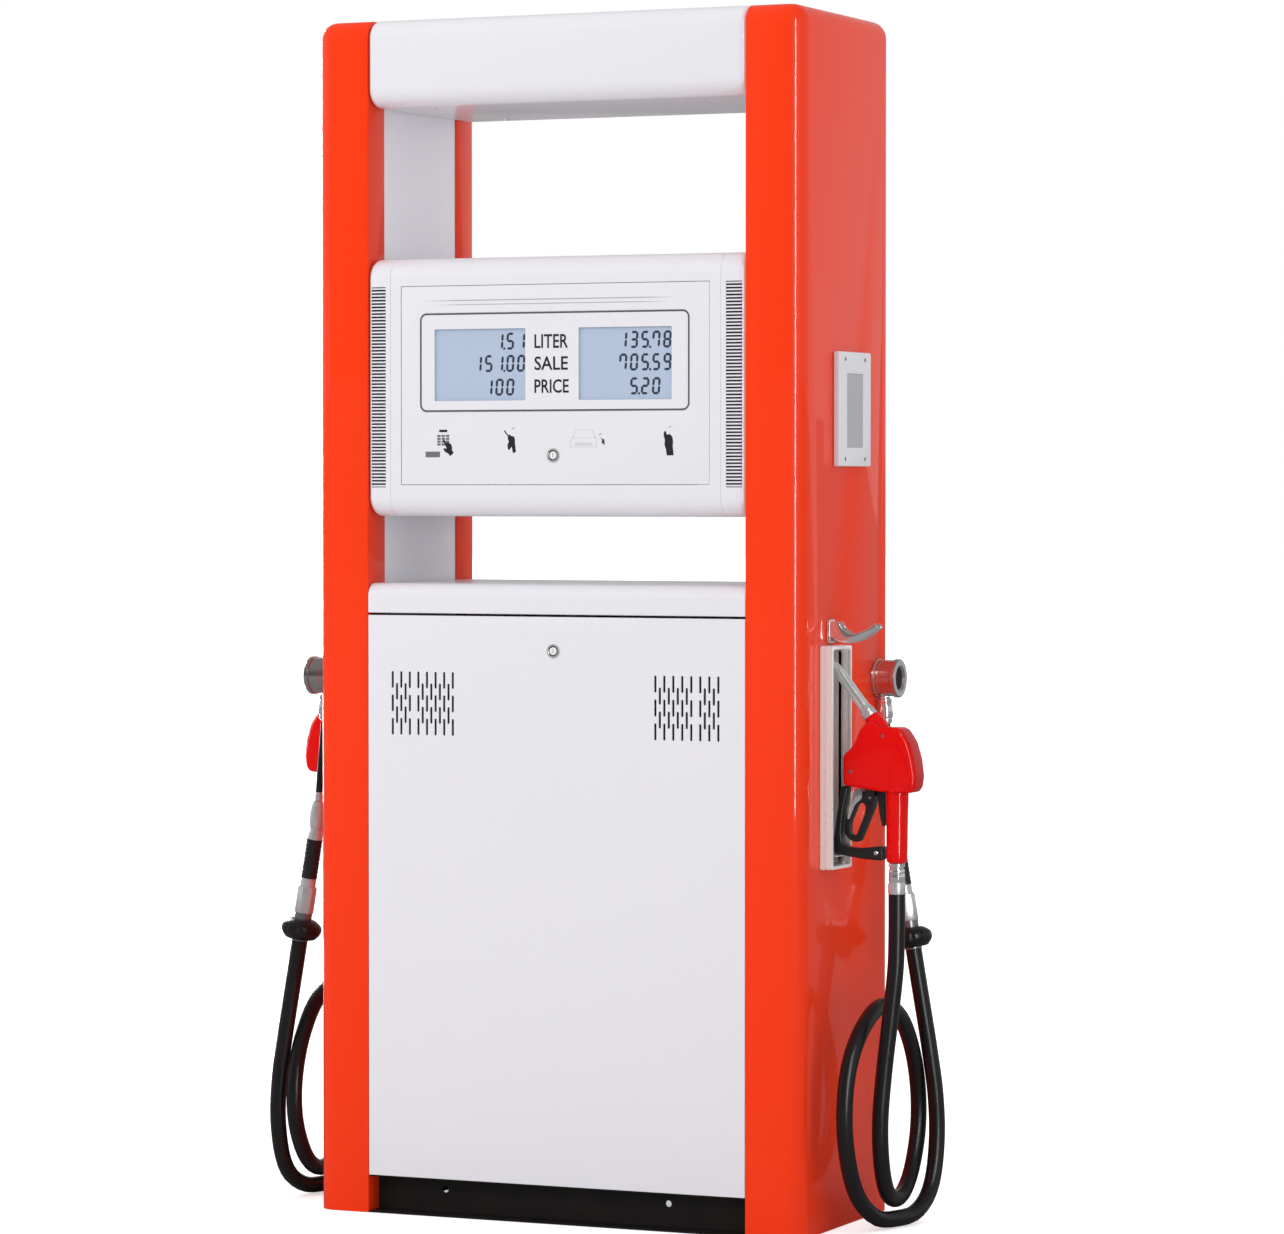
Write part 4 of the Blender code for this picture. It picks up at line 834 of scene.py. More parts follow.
def makeBreakaway(side):
    sleeveRadius = 0.0148
    piece = newPiece()
    reach = (chainKnuckle - chainTop).length
    add(piece,
        lathe([(0.0088, 0.2026), (0.0130, 0.213), (0.0140, 0.226), (0.0140, 0.238), (0.0120, reach - 0.003),
               (0.0080, reach + 0.002)], chainTop, upperWay, 48))
    add(piece, lathe([(0.0098, -0.003), (0.0125, 0.004), (0.0142, 0.012), (0.0142, 0.018)], chainKnuckle,
                     lowerWay, 48))
    # the ribbed plastic sleeve, the clamp band, the hexagon and the ferrule on the hose
    sleeve = [(0, 0.0175), (sleeveRadius, 0.0175)]
    for i in range(8):
        at = 0.024 + 0.0083 * i
        sleeve += [(sleeveRadius, at), (sleeveRadius - 0.0007, at + 0.0006),
                   (sleeveRadius - 0.0007, at + 0.0018), (sleeveRadius, at + 0.0024)]
    sleeve += [(sleeveRadius, 0.0915), (0, 0.0915)]
    add(piece, lathe(sleeve, chainKnuckle, lowerWay, 48), 1)
    add(piece,
        lathe([(0.0138, 0.091), (0.0138, 0.0935), (0.0142, 0.094), (0.0142, 0.1055), (0.0150, 0.1062),
               (0.0150, 0.1085)], chainKnuckle, lowerWay, 48))
    hexEnd = ringStart - 0.012
    hexagon = lathe([(0.0165, 0.108), (0.0178, 0.1105), (0.0178, hexEnd - 0.002), (0.0165, hexEnd)],
                    chainKnuckle, lowerWay, 6)
    add(piece, rounded(hexagon, 40, 0.0006, 2))
    add(piece, lathe([(0.0160, hexEnd - 0.001), (0.0160, ringStart - 0.001), (0.0158, ringStart),
                      (0.0158, neckEnd - 0.001), (0.0150, neckEnd)], chainKnuckle, lowerWay, 48), 2)
    finishPiece("breakaway_coupling", piece, [satinSteel, blackMoulding, darkSteel], "breakaway", side)


def makeGuardRing(side):
    values = {"bore": 0.0163, "radius": 0.038, "height": 0.036, "notches": 8}
    r, h, bore = values["radius"], values["height"], values["bore"]
    ring = lathe([(bore, 0.001), (r * 0.56, 0.0), (r * 0.66, 0.0015), (r * 0.90, h * 0.22),
                  (r * 0.98, h * 0.34), (r, h * 0.48), (r * 0.985, h * 0.62), (r * 0.90, h * 0.78),
                  (r * 0.74, h * 0.97), (r * 0.66, h), (bore, h)], chainKnuckle + lowerWay * ringStart,
                 lowerWay, 64, ring=True)
    piece = newPiece()
    cutters = []
    turn = lowerWay.to_track_quat("Z", "Y")
    for i in range(values["notches"]):
        angle = math.tau * (i + 0.5) / values["notches"]
        outwards = turn @ Vector((math.cos(angle), math.sin(angle), 0))
        centre = chainKnuckle + lowerWay * (ringStart - 0.002) + outwards * (r + 0.006)
        cutters.append(rod(0.0085, centre, centre + lowerWay * (h + 0.004), steps=24))
    add(piece, rounded(carve(ring, *cutters), 35, 0.0009, 2))
    finishPiece("hose_bumper", piece, [blackRubber], "hose_guard", side)


for side in columnSides:
    makeOutlet(side)
    makeWhip(side)
    makeBreakaway(side)
    makeGuardRing(side)
print("stage: hose fittings")


# nozzle: distance out from the column's face, and height
def inPlane(points):
    return [(columnFace + out, z) for out, z in points]


def nozzlePoint(out, z, across=0.0):
    return Vector((columnFace + out, nozzleY + across, z))


nozzleValues = {
    "width": 0.052, "edge": 0.010, "spoutRadius": 0.0105, "guardWidth": 0.024,
    "shell": [(0.0625, 0.900), (0.068, 0.912), (0.090, 0.9255), (0.105, 0.912), (0.141, 0.912),
              (0.149, 0.902), (0.159, 0.886), (0.168, 0.856), (0.173, 0.825), (0.1715, 0.806),
              (0.163, 0.7955), (0.150, 0.7945), (0.107, 0.7965), (0.034, 0.8065), (0.034, 0.862),
              (0.046, 0.8705), (0.0565, 0.884)],
    "spout": [(0.080, 0.930), (0.016, 1.0125), (-0.008, 1.0290), (-0.034, 1.0345)],
}


def roundedPath(corners, radius, steps=10):
    corners = [Vector(c) for c in corners]
    points = [corners[0]]
    for before, corner, after in zip(corners, corners[1:], corners[2:]):
        back, ahead = (before - corner).normalized(), (after - corner).normalized()
        half = back.angle(ahead) / 2
        middle = (back + ahead).normalized() * (radius / math.sin(half))
        reach = radius / math.tan(half)
        first, last = back * reach - middle, ahead * reach - middle
        axis, angle = first.cross(last), first.angle(last)
        points += [corner + middle + Quaternion(axis, angle * i / steps) @ first for i in range(steps + 1)]
    return [*points, corners[-1]]


def smoothOutline(corners, radius, steps=4):
    # rounds every corner of a closed outline
    points = []
    count = len(corners)
    for i in range(count):
        before, corner, after = (Vector(corners[(i + k) % count]) for k in (-1, 0, 1))
        back, ahead = before - corner, after - corner
        reach = min(radius, back.length * 0.45, ahead.length * 0.45)
        first, last = corner + back.normalized() * reach, corner + ahead.normalized() * reach
        for k in range(steps + 1):
            t = k / steps
            points.append(tuple(first * (1 - t) ** 2 + corner * (2 * t * (1 - t)) + last * t ** 2))
    return points


def makeNozzleBody(side):
    values = nozzleValues
    half = values["width"] / 2
    piece = newPiece()
    shell = smoothOutline(inPlane(values["shell"]), 0.008)
    add(piece, plate(shell, "Y", nozzleY - half, nozzleY + half, values["edge"], 5))
    # the grip runs up into each cheek as a raised wedge
    wedge = smoothOutline(inPlane([(0.1245, 0.7960), (0.1270, 0.8430), (0.1365, 0.8820), (0.1490, 0.8690),
                                   (0.1655, 0.8260), (0.1600, 0.7990)]), 0.004)
    add(piece, plate(wedge, "Y", nozzleY - half - 0.0022, nozzleY + half + 0.0022, 0.0022, 2))
    # the rear cover, split from the shell by its own edge; its darker red is painted shade for its turned-away end
    rear = smoothOutline(inPlane([(0.1440, 0.9105), (0.1515, 0.9015), (0.1618, 0.8860), (0.1708, 0.8560),
                                  (0.1748, 0.8250), (0.1722, 0.8055), (0.1640, 0.7950), (0.1590, 0.8100),
                                  (0.1600, 0.8350), (0.1560, 0.8600), (0.1480, 0.8850)]), 0.004)
    add(piece, plate(rear, "Y", nozzleY - 0.0190, nozzleY + 0.0190, 0.004, 4), 1)
    # collar that holds the spout, in steps
    spoutWay = (nozzlePoint(*values["spout"][1]) - nozzlePoint(*values["spout"][0])).normalized()
    collarTop = nozzlePoint(*values["spout"][0])
    add(piece,
        lathe([(0.0170, -0.046), (0.0168, -0.012), (0.0158, -0.008), (0.0150, -0.007), (0.0150, -0.002),
               (0.0142, 0)], collarTop, spoutWay, 48))
    # grip, oval and slightly waisted
    top, end = nozzlePoint(0.1305, 0.806), nozzlePoint(0.1296, 0.6695)
    length = (end - top).length
    grip = lathe([(0.0202, 0), (0.0203, 0.020), (0.0197, 0.045), (0.0193, 0.080), (0.0192, 0.110),
                  (0.0188, length - 0.006), (0.0178, length - 0.0015), (0.0160, length)], top, end - top,
                 56)
    add(piece, grip)
    # hinge lugs and pin of the trigger
    for sign in (-1, 1):
        low = nozzlePoint(0.074, 0.777, sign * 0.0078)
        high = nozzlePoint(0.090, 0.806, sign * 0.0125)
        add(piece, block([min(a, b) for a, b in zip(low, high)], [max(a, b) for a, b in zip(low, high)],
                         0.003, 3, "Y"), 2)
    add(piece, rod(0.0029, nozzlePoint(0.082, 0.785, -0.0132), nozzlePoint(0.082, 0.785, 0.0132), 0.0005,
                   24), 3)
    # two countersunk screws on each cheek
    for out, z in ((0.050, 0.832), (0.112, 0.897)):
        for sign in (-1, 1):
            add(piece,
                lathe([(0.0032, 0), (0.0032, 0.0006), (0.0026, 0.0010), (0.0012, 0.0010), (0.0012, 0.0003)],
                      nozzlePoint(out, z, sign * (half - 0.0002)), (0, sign, 0), 24), 3)
    finishPiece("nozzle_shell", piece, [redMoulding, darkRedMoulding, blackMoulding, darkSteel],
                "nozzle_body", side, f"nozzle_{side}", smooth=38)


def makeSpout(side):
    values = nozzleValues
    piece = newPiece()
    corners = [nozzlePoint(*p) for p in values["spout"]]
    spoutWay = (corners[1] - corners[0]).normalized()
    line = roundedPath([corners[0] + spoutWay * 0.0004, *corners[1:]], 0.045, 12)
    add(piece, curveTube(line, values["spoutRadius"] - 0.0003, 7))
    # ringed sleeve at the root, and the bore at the tip
    add(piece,
        lathe([(0.0135, 0.0006), (0.0138, 0.0012), (0.0138, 0.006), (0.0128, 0.0066), (0.0128, 0.0082),
               (0.0136, 0.0088), (0.0136, 0.0130), (0.0122, 0.0142), (0.0114, 0.0210)], corners[0],
              spoutWay, 48), 1)
    tipWay = (corners[3] - corners[2]).normalized()
    add(piece, lathe([(0.0086, -0.001), (0.0105, -0.001), (0.0105, -0.0003), (0.0100, 0.0002),
                      (0.0088, 0.0002)], corners[3], tipWay, 48, ring=True))
    add(piece, lathe([(0.0084, -0.0004), (0.0084, 0.0001)], corners[3], tipWay, 40), 2)
    finishPiece("nozzle_spout_tube", piece, [spoutAlloy, satinSteel, shadowGap], "nozzle_spout", side,
                f"nozzle_{side}")


def makeGuard(side):
    half = nozzleValues["guardWidth"] / 2
    piece = newPiece()
    outline = smoothOutline(inPlane([
        (0.026, 0.8056), (0.019, 0.759), (0.0122, 0.711), (0.0122, 0.683), (0.022, 0.6815), (0.040, 0.6785),
        (0.069, 0.6745), (0.1063, 0.6725), (0.1066, 0.699), (0.079, 0.6955), (0.058, 0.6935), (0.038, 0.6955),
        (0.0285, 0.703), (0.0262, 0.719), (0.0300, 0.760), (0.0400, 0.8040)]), 0.006, 5)
    add(piece, plate(outline, "Y", nozzleY - half, nozzleY + half, 0.0032, 4))
    for sign in (-1, 1):
        add(piece, lathe([(0.0038, 0), (0.0038, 0.0006), (0.0030, 0.0012)],
                         nozzlePoint(0.0935, 0.6860, sign * (half - 0.0006)), (0, sign, 0), 24), 1)
    # chrome hold-open clip inside the guard
    clip = smoothOutline(inPlane([(0.0500, 0.8000), (0.0665, 0.8000), (0.0665, 0.7830), (0.0530, 0.7720),
                                  (0.0420, 0.7450), (0.0375, 0.7455), (0.0400, 0.7640), (0.0460, 0.7850)]),
                         0.004, 4)
    for sign in (-1, 1):
        near, far = sorted((nozzleY + sign * 0.0080, nozzleY + sign * 0.0112))
        add(piece, plate(clip, "Y", near, far, 0.0008, 2), 2)
    # wedge that stops the guard against the grip
    wedge = smoothOutline(inPlane([(0.0930, 0.7975), (0.1075, 0.7975), (0.1078, 0.7360), (0.1040, 0.7330),
                                   (0.0985, 0.7560)]), 0.003, 3)
    add(piece, plate(wedge, "Y", nozzleY - 0.0070, nozzleY + 0.0070, 0.0015, 2))
    finishPiece("hand_guard", piece, [blackMoulding, chrome, chrome], "nozzle_guard", side, f"nozzle_{side}")


def makeTrigger(side):
    piece = newPiece()
    outer = smoothOutline(inPlane([(0.051, 0.7045), (0.038, 0.7095), (0.0307, 0.722), (0.0322, 0.745),
                                   (0.047, 0.7855), (0.059, 0.7945), (0.076, 0.7955), (0.0905, 0.7885),
                                   (0.0895, 0.770), (0.062, 0.7055)]), 0.007, 5)
    hole = smoothOutline(inPlane([(0.043, 0.7185), (0.0422, 0.738), (0.057, 0.7725), (0.065, 0.7765),
                                  (0.072, 0.770), (0.071, 0.758), (0.0538, 0.7155)]), 0.005, 5)
    lever = carve(plate(outer, "Y", nozzleY - 0.0070, nozzleY + 0.0070),
                  plate(hole, "Y", nozzleY - 0.02, nozzleY + 0.02),
                  rod(0.0032, nozzlePoint(0.082, 0.785, -0.02), nozzlePoint(0.082, 0.785, 0.02), steps=24))
    add(piece, rounded(lever, 50, 0.0014, 3))
    finishPiece("squeeze_lever", piece, [blackMoulding], "trigger", side, f"trigger_{side}")


def makeNozzleSwivel(side):
    top = Vector((swivelX, nozzleY, swivelHigh.z))
    down = (0, 0, -1)
    length = swivelHigh.z - swivelLow.z
    piece = newPiece()
    add(piece,
        lathe([(0.0142, 0.0003), (0.0150, 0.0012), (0.0150, 0.0062), (0.0138, 0.0075), (0.0126, 0.0085),
               (0.0126, 0.0105), (0.0142, 0.0118), (0.0146, 0.0135), (0.0146, 0.0165), (0.0130, 0.0180)],
              top, down, 56))
    hexagon = lathe([(0.0146, 0.0175), (0.0158, 0.0195), (0.0158, 0.0330), (0.0146, 0.0350)], top, down, 6)
    add(piece, rounded(hexagon, 40, 0.0006, 2))
    add(piece, lathe([(0.0140, 0.0345), (0.0154, 0.0370), (0.0157, 0.0420), (0.0157, length - 0.0025),
                      (0.0150, length)], top, down, 56), 1)
    finishPiece("nozzle_joint", piece, [chrome, satinSteel], "nozzle_swivel", side, f"nozzle_swivel_{side}")


for side in columnSides:
    makeNozzleBody(side)
    makeSpout(side)
    makeGuard(side)
    makeTrigger(side)
    makeNozzleSwivel(side)
print("stage: nozzles")


# on the column's face: boot, hook and framed plate
def makeBoot(side):
    values = {"proud": 0.024, "wall": 0.0065,
              "bands": [(0.0, 0.0075, 0.0), (0.0070, 0.0088, 0.0022), (0.0084, 0.0194, 0.0005),
                        (0.0190, 0.0206, 0.0022), (0.0202, 0.0300, 0.0008)]}
    low, high = lowOf("nozzle_boot_right"), highOf("nozzle_boot_right")
    face = columnFace + chainValues["fit"]
    wall = values["wall"]
    innerLow, innerHigh = (low.y + wall, low.z + wall), (high.y - wall, high.z - wall)
    piece = newPiece()
    # drawn flange in three bands with grooves between: start, end and inset of each ring
    for start, end, inset in values["bands"]:
        ring = plate(roundedRect((low.y + inset, low.z + inset), (high.y - inset, high.z - inset), 0.004),
                     "X", face + start, min(face + end, columnFace + values["proud"]), 0.0006, 2)
        hole = plate(roundedRect(innerLow, innerHigh, 0.006), "X", face - 0.02, columnFace + 0.05)
        add(piece, carve(ring, hole))
    # the pan behind it, with a rolled step round its mouth
    pan = plate(roundedRect((innerLow[0] - 0.0018, innerLow[1] - 0.0018),
                            (innerHigh[0] + 0.0018, innerHigh[1] + 0.0018), 0.007), "X", low.x + 0.0002,
                face + 0.006)
    well = plate(roundedRect(innerLow, innerHigh, 0.006), "X", low.x + 0.0018, face + 0.03, 0.004, 3)
    add(piece, rounded(carve(pan, well), 50, 0.0004, 1), 1)
    # ledge with a lip, and the latch tongue above it
    ledgeTop = 0.6801
    add(piece, block((low.x + 0.003, nozzleY - 0.020, ledgeTop - 0.003),
                     (columnFace + 0.0215, nozzleY + 0.020, ledgeTop), 0.0012, 2), 1)
    for sign in (-1, 1):
        add(piece, rod(0.0028, (columnFace + 0.014, nozzleY + sign * 0.031, 0.6600),
                       (columnFace + 0.014, nozzleY + sign * 0.031, 0.6665), 0.0006, 20), 1)
    for z in (low.z + 0.030, high.z - 0.030):
        add(piece, rod(0.0035, (low.x + 0.0015, nozzleY + 0.026, z), (low.x + 0.0045, nozzleY + 0.026, z),
                       0.001, 24), 2)
    finishPiece("boot_flange", piece, [brightSheet, panSheet, darkSteel], "nozzle_boot", side)


def makeHook(side):
    values = {"lean": 0.0395, "low": 1.0725, "radius": 0.080, "width": 0.026}
    centre = (columnFace + values["lean"], values["low"] + values["radius"])
    piece = newPiece()
    face = columnFace + chainValues["fit"]
    # two side cheeks, deep at the bottom and slim at the tip, that run up to the wall plate
    lower, upper = [], []
    for i in range(15):
        t = i / 14
        angle = math.radians(243.0 + 70.5 * t)
        below = 0.0060 + 0.0050 * math.sin(math.pi * min(1.0, t * 1.25)) if t < 0.8 else 0.0060
        above = -0.0072 + 0.0022 * t
        lower.append((centre[0] + (values["radius"] + below) * math.cos(angle),
                      centre[1] + (values["radius"] + below) * math.sin(angle)))
        if t > 0.36:
            upper.append((centre[0] + (values["radius"] + above) * math.cos(angle),
                          centre[1] + (values["radius"] + above) * math.sin(angle)))
    root = [(face + 0.0290, 1.0860), (face + 0.0225, 1.0975), (face + 0.0190, 1.1002),
            (face + 0.0010, 1.1002)]
    cheek = smoothOutline(lower + upper[::-1] + root, 0.0025, 2)
    for sign in (-1, 1):
        near, far = sorted((nozzleY + sign * 0.0074, nozzleY + sign * values["width"] / 2))
        add(piece, plate(cheek, "Y", near, far, 0.0020, 3))
    inner = arcPoints(centre, values["radius"] - 0.0012, 243.5, 311, 28)
    outer = arcPoints(centre, values["radius"] + 0.0032, 311, 243.5, 28)
    add(piece, plate(inner + outer, "Y", nozzleY - 0.0090, nozzleY + 0.0090, 0.0008, 1))
    base = roundedRect((nozzleY - 0.0155, 1.0610), (nozzleY + 0.0155, 1.1035), 0.006)
    add(piece, plate(base, "X", face, face + 0.0048, 0.0012, 2))
    for z in (1.0690, 1.0965):
        add(piece,
            lathe([(0.0042, 0), (0.0042, 0.0012), (0.0030, 0.0024), (0.0016, 0.0026), (0.0016, 0.0012)],
                  (face + 0.0040, nozzleY, z), (1, 0, 0), 28), 1)
    finishPiece("hose_cradle", piece, [chrome, darkSteel], "hose_hook", side)


def makeSidePlate(side):
    values = {"window": (0.086, 0.142), "border": 0.004, "screw": 0.0042}
    low, high = lowOf("side_plate_right"), highOf("side_plate_right")
    middle = ((low.y + high.y) / 2, (low.z + high.z) / 2 - 0.0025)
    w, h = values["window"][0] / 2, values["window"][1] / 2
    piece = newPiece()
    frameShape = plate(roundedRect((low.y, low.z), (high.y, high.z), 0.004), "X", low.x, high.x, 0.0022, 3)
    opening = plate(roundedRect((middle[0] - w, middle[1] - h), (middle[0] + w, middle[1] + h), 0.004), "X",
                    high.x - 0.0024, high.x + 0.01)
    add(piece, rounded(carve(frameShape, opening), 50, 0.0003, 1))
    # raised inner border, then the neutral field behind it
    b = values["border"]
    border = plate(roundedRect((middle[0] - w, middle[1] - h), (middle[0] + w, middle[1] + h), 0.004), "X",
                   high.x - 0.0024, high.x + 0.0001 - 0.0006)
    inside = plate(roundedRect((middle[0] - w + b, middle[1] - h + b),
                               (middle[0] + w - b, middle[1] + h - b), 0.003), "X", high.x - 0.01,
                   high.x + 0.01)
    add(piece, carve(border, inside))
    add(piece, plate(roundedRect((middle[0] - w + b + 0.0002, middle[1] - h + b + 0.0002),
                                 (middle[0] + w - b - 0.0002, middle[1] + h - b - 0.0002), 0.003),
                     "X", high.x - 0.0023, high.x - 0.0013, 0.0003, 1), 1)
    for y in (low.y + 0.030, high.y - 0.030):
        for z in (low.z + 0.0135, high.z - 0.0135):
            screw = lathe([(values["screw"], 0), (values["screw"], 0.0006), (values["screw"] * 0.7, 0.0014),
                           (0, 0.0018)], (high.x - 0.0009, y, z), (1, 0, 0), 28)
            slots = [block((high.x - 0.0002, y - a, z - c), (high.x + 0.003, y + a, z + c))
                     for a, c in ((0.0023, 0.0004), (0.0004, 0.0023))]
            add(piece, carve(screw, *slots), 2)
    finishPiece("plate_frame", piece, [whitePaint, labelField, darkSteel], "side_plate", side)


for side in columnSides:
    makeBoot(side)
    makeHook(side)
    makeSidePlate(side)
print("stage: boots, hooks and side plates")


# columns, with their risers
columnValues = {"sheet": 0.002, "corner": 0.036, "topEdge": 0.032, "riserOpening": 0.300, "riserTop": 2.140,
                "bootLap": 0.0015, "pipeHole": 0.0133}


def columnForm(inset, bottom):
    low = (columnLow.x + inset, columnLow.y + inset)
    high = (columnFace - inset, columnHigh.y - inset)
    top = columnHigh.z - inset
    outer = columnValues["corner"] - inset
    form = plate(roundedRect(low, high, (outer, 0, 0, outer), 9), "Z", bottom, top)
    rims = [e for e in form.edges if min(v.co.z for v in e.verts) > top - 1e-5
            and max(v.co.x for v in e.verts) > low[0] + 1e-5]
    roundEdges(form, rims, columnValues["topEdge"] - inset, 8)
    return form


def makeColumn(side):
    values = columnValues
    lap, half = values["bootLap"], values["riserOpening"] / 2
    bootLow, bootHigh = lowOf("nozzle_boot_right"), highOf("nozzle_boot_right")
    cutters = [
        columnForm(values["sheet"], -0.05),
        block((columnLow.x - 0.01, -half, -0.06), (columnLow.x + 0.01, half, values["riserTop"])),
        block((columnFace - 0.01, bootLow.y + lap, bootLow.z + lap),
              (columnFace + 0.01, bootHigh.y - lap, bootHigh.z - lap)),
        rod(values["pipeHole"], (columnFace - 0.01, outletY, outletHeight),
            (columnFace + 0.01, outletY, outletHeight)),
    ]
    piece = newPiece()
    add(piece, rounded(carve(columnForm(0.0, 0.0), *cutters), 60, 0.0005, 2))
    finishPiece("column_shell", piece, [orangePaint], "column_cover", side)


def paintNode(node, finish):
    for place in frame["nodes"][node].material_slots:
        place.material = finish


for side in columnSides:
    makeColumn(side)
    # the riser takes the brightened white, painted light on its sideways face
    paintNode(f"riser_{side}", riserPaint)
print("stage: columns")


# header, display head and cabinet top
beamReach = columnLow.x - 0.0003


def beamForm(node, lowEdge, highEdge, endEdge, inset=0.0):
    # a beam along X over the body's whole depth, with soft long edges and softer ends
    bottom, top, half = lowOf(node).z + inset, highOf(node).z - inset, columnHigh.y - inset
    radii = tuple(max(r - inset, 0.0004) for r in (highEdge, highEdge, lowEdge, lowEdge))
    reach = beamReach - inset
    return plate(roundedRect((-half, bottom), (half, top), radii, 9), "X", -reach, reach,
                 max(endEdge - inset, 0.0004), 5)


def makeHeader():
    values = {"lowEdge": 0.034, "endEdge": 0.014, "screwX": 0.270, "screwY": 0.150}
    form = beamForm("header_housing", values["lowEdge"], values["lowEdge"], values["endEdge"])
    piece = newPiece()
    add(piece, form)
    bottom = lowOf("header_housing").z
    for x in (-values["screwX"], values["screwX"]):
        for y in (-values["screwY"], values["screwY"]):
            add(piece, lathe([(0.0045, 0), (0.0045, 0.0008), (0.0030, 0.0022), (0, 0.0024)],
                             (x, y, bottom + 0.0004), (0, 0, -1), 24), 1)
    finishPiece("header_beam", piece, [whitePaint, satinSteel], "header_housing")


headValues = {"edge": 0.036, "endEdge": 0.015, "sheet": 0.002, "doorGap": 0.0008, "seamX": 0.3300,
              "seamWidth": 0.0009, "seamDepth": 0.0007, "louvreX": (0.3400, 0.3705),
              "louvreZ": (1.341, 1.709), "blades": 60, "bladeThickness": 0.0027, "bladeDepth": 0.0085,
              "bladeDrop": 0.0012}


def makeHead():
    values = headValues
    edges = (values["edge"], values["edge"], values["endEdge"])
    doorLow, doorHigh = lowOf("display_door_front"), highOf("display_door_front")
    gap = values["doorGap"]
    cutters = [beamForm("head_housing", *edges, values["sheet"]),
               block((doorLow.x - gap, -0.3, doorLow.z - gap), (doorHigh.x + gap, 0.3, doorHigh.z + gap))]
    for sign in (-1, 1):
        reach = sorted(sign * x for x in values["louvreX"])
        cutters.append(block((reach[0], -0.3, values["louvreZ"][0]), (reach[1], 0.3, values["louvreZ"][1])))
        halfSeam = values["seamWidth"] / 2
        seam = sorted(sign * (values["seamX"] + w) for w in (-halfSeam, halfSeam))
        low, high = lowOf("head_housing").z, highOf("head_housing").z
        half, deep = columnHigh.y, values["seamDepth"]
        ring = plate(roundedRect((-half - 0.01, low - 0.01), (half + 0.01, high + 0.01), 0.036), "X", *seam)
        core = plate(roundedRect((deep - half, low + deep), (half - deep, high - deep),
                                 values["edge"] - deep, 9), "X", seam[0] - 0.01, seam[1] + 0.01)
        cutters.append(carve(ring, core))
    piece = newPiece()
    add(piece, carve(beamForm("head_housing", *edges), *cutters))
    finishPiece("head_shell", piece, [whitePaint], "head_housing")


def makeLouvres(facing):
    values = headValues
    bottom, top = values["louvreZ"]
    pitch = (top - bottom) / values["blades"]
    face = -columnHigh.y
    piece = newPiece()
    for sign in (-1, 1):
        left, right = sorted(sign * x for x in values["louvreX"])
        for i in range(values["blades"]):
            z = bottom + pitch * (i + 0.25)
            back, drop, thick = face + values["bladeDepth"], values["bladeDrop"], values["bladeThickness"]
            outline = [(face + 0.0004, z), (back, z + drop), (back, z + drop + thick),
                       (face + 0.0004, z + thick)]
            add(piece, plate(outline, "X", left + 0.0002, right - 0.0002))
        add(piece, block((left - 0.004, face + values["bladeDepth"], bottom - 0.004),
                         (right + 0.004, face + values["bladeDepth"] + 0.001, top + 0.004)), 1)
    finishPiece("head_louvres", piece, [whitePaint, shadowGap], "head_housing", facing, replacing=False)


def makeCabinetTop():
    values = {"lowEdge": 0.0024, "highEdge": 0.024, "endEdge": 0.0023, "sheet": 0.002, "lip": 0.012}
    edges = (values["lowEdge"], values["highEdge"], values["endEdge"])
    low = lowOf("cabinet_top").z
    under = block((values["sheet"] - beamReach, values["sheet"] - columnHigh.y, low - 0.05),
                  (beamReach - values["sheet"], columnHigh.y - values["sheet"], low + values["lip"]))
    piece = newPiece()
    add(piece, carve(beamForm("cabinet_top", *edges), beamForm("cabinet_top", *edges, values["sheet"]),
                     under))
    finishPiece("cabinet_tray", piece, [whitePaint], "cabinet_top")


makeHeader()
makeHead()
for facing in facings:
    makeLouvres(facing)
makeCabinetTop()
print("stage: header, head and cabinet top")


# doors, locks and plinth
lockRim = 0.0125


def panelForm(low, high, depth, edge):
    # a sheet panel with returned edges, soft round its front rim; the front is towards -Y
    form = block(low, (high[0], low[1] + depth, high[2]))
    rims = [e for e in form.edges if max(v.co.y for v in e.verts) < low[1] + 1e-6]
    roundEdges(form, rims, edge, 3)
    return form


def makeLock(name, kind, facing, depth, reach):
    values = {"hole": 0.0095, "barrel": 0.0072, "proud": 0.002, "camHalf": 0.006, "cam": 0.004}
    front = lowOf(f"{kind}_front").y
    height = highOf(f"{kind}_front").z - lockRim
    centre, inwards = (0, front, height), (0, 1, 0)
    piece = newPiece()
    add(piece, lathe([(0.0094, 0.0004), (0.0098, 0), (0.0114, 0), (0.0122, 0.0004), (lockRim, 0.0011),
                      (lockRim, values["proud"]), (0.0094, values["proud"])], centre, inwards, 56,
                     ring=True))
    add(piece, lathe([(values["hole"], 0.0014), (values["hole"], 0.003)], centre, inwards, 40), 2)
    # the barrel's near-white, mostly matte finish is a painted highlight for the glint on its chrome face
    barrel = lathe([(0.0062, 0.0002), (values["barrel"], 0.0009), (values["barrel"], 0.0025)], centre,
                   inwards, 48)
    slot = block((-0.0006, front - 0.01, height - 0.0042), (0.0006, front + 0.0018, height + 0.0042))
    add(piece, carve(barrel, slot), 1)
    back = front + depth - values["cam"]
    add(piece, rod(0.0092, (0, front + 0.0024, height), (0, back, height), 0.0006, 40), 3)
    hexagon = lathe([(0.0105, 0), (0.0105, 0.003)], (0, back - 0.0035, height), inwards, 6)
    add(piece, rounded(hexagon, 40, 0.0004, 1), 3)
    cam = block((-0.0085, back, height - values["camHalf"]),
                (reach, back + values["cam"], height + values["camHalf"]), 0.0045, 4, "Y")
    add(piece, rounded(cam, 60, 0.0004, 1), 3)
    finishPiece(name, piece, [satinSteel, brightSheet, shadowGap, zincSteel], kind, facing,
                f"{kind}_{facing}")


ventValues = {"starts": (-0.3267, 0.2023), "skipped": (2, 4), "pitch": 0.0176, "columns": 8,
              "halfWidth": 0.0023, "halfHeight": 0.0155, "low": 0.9015, "rise": 0.0430}


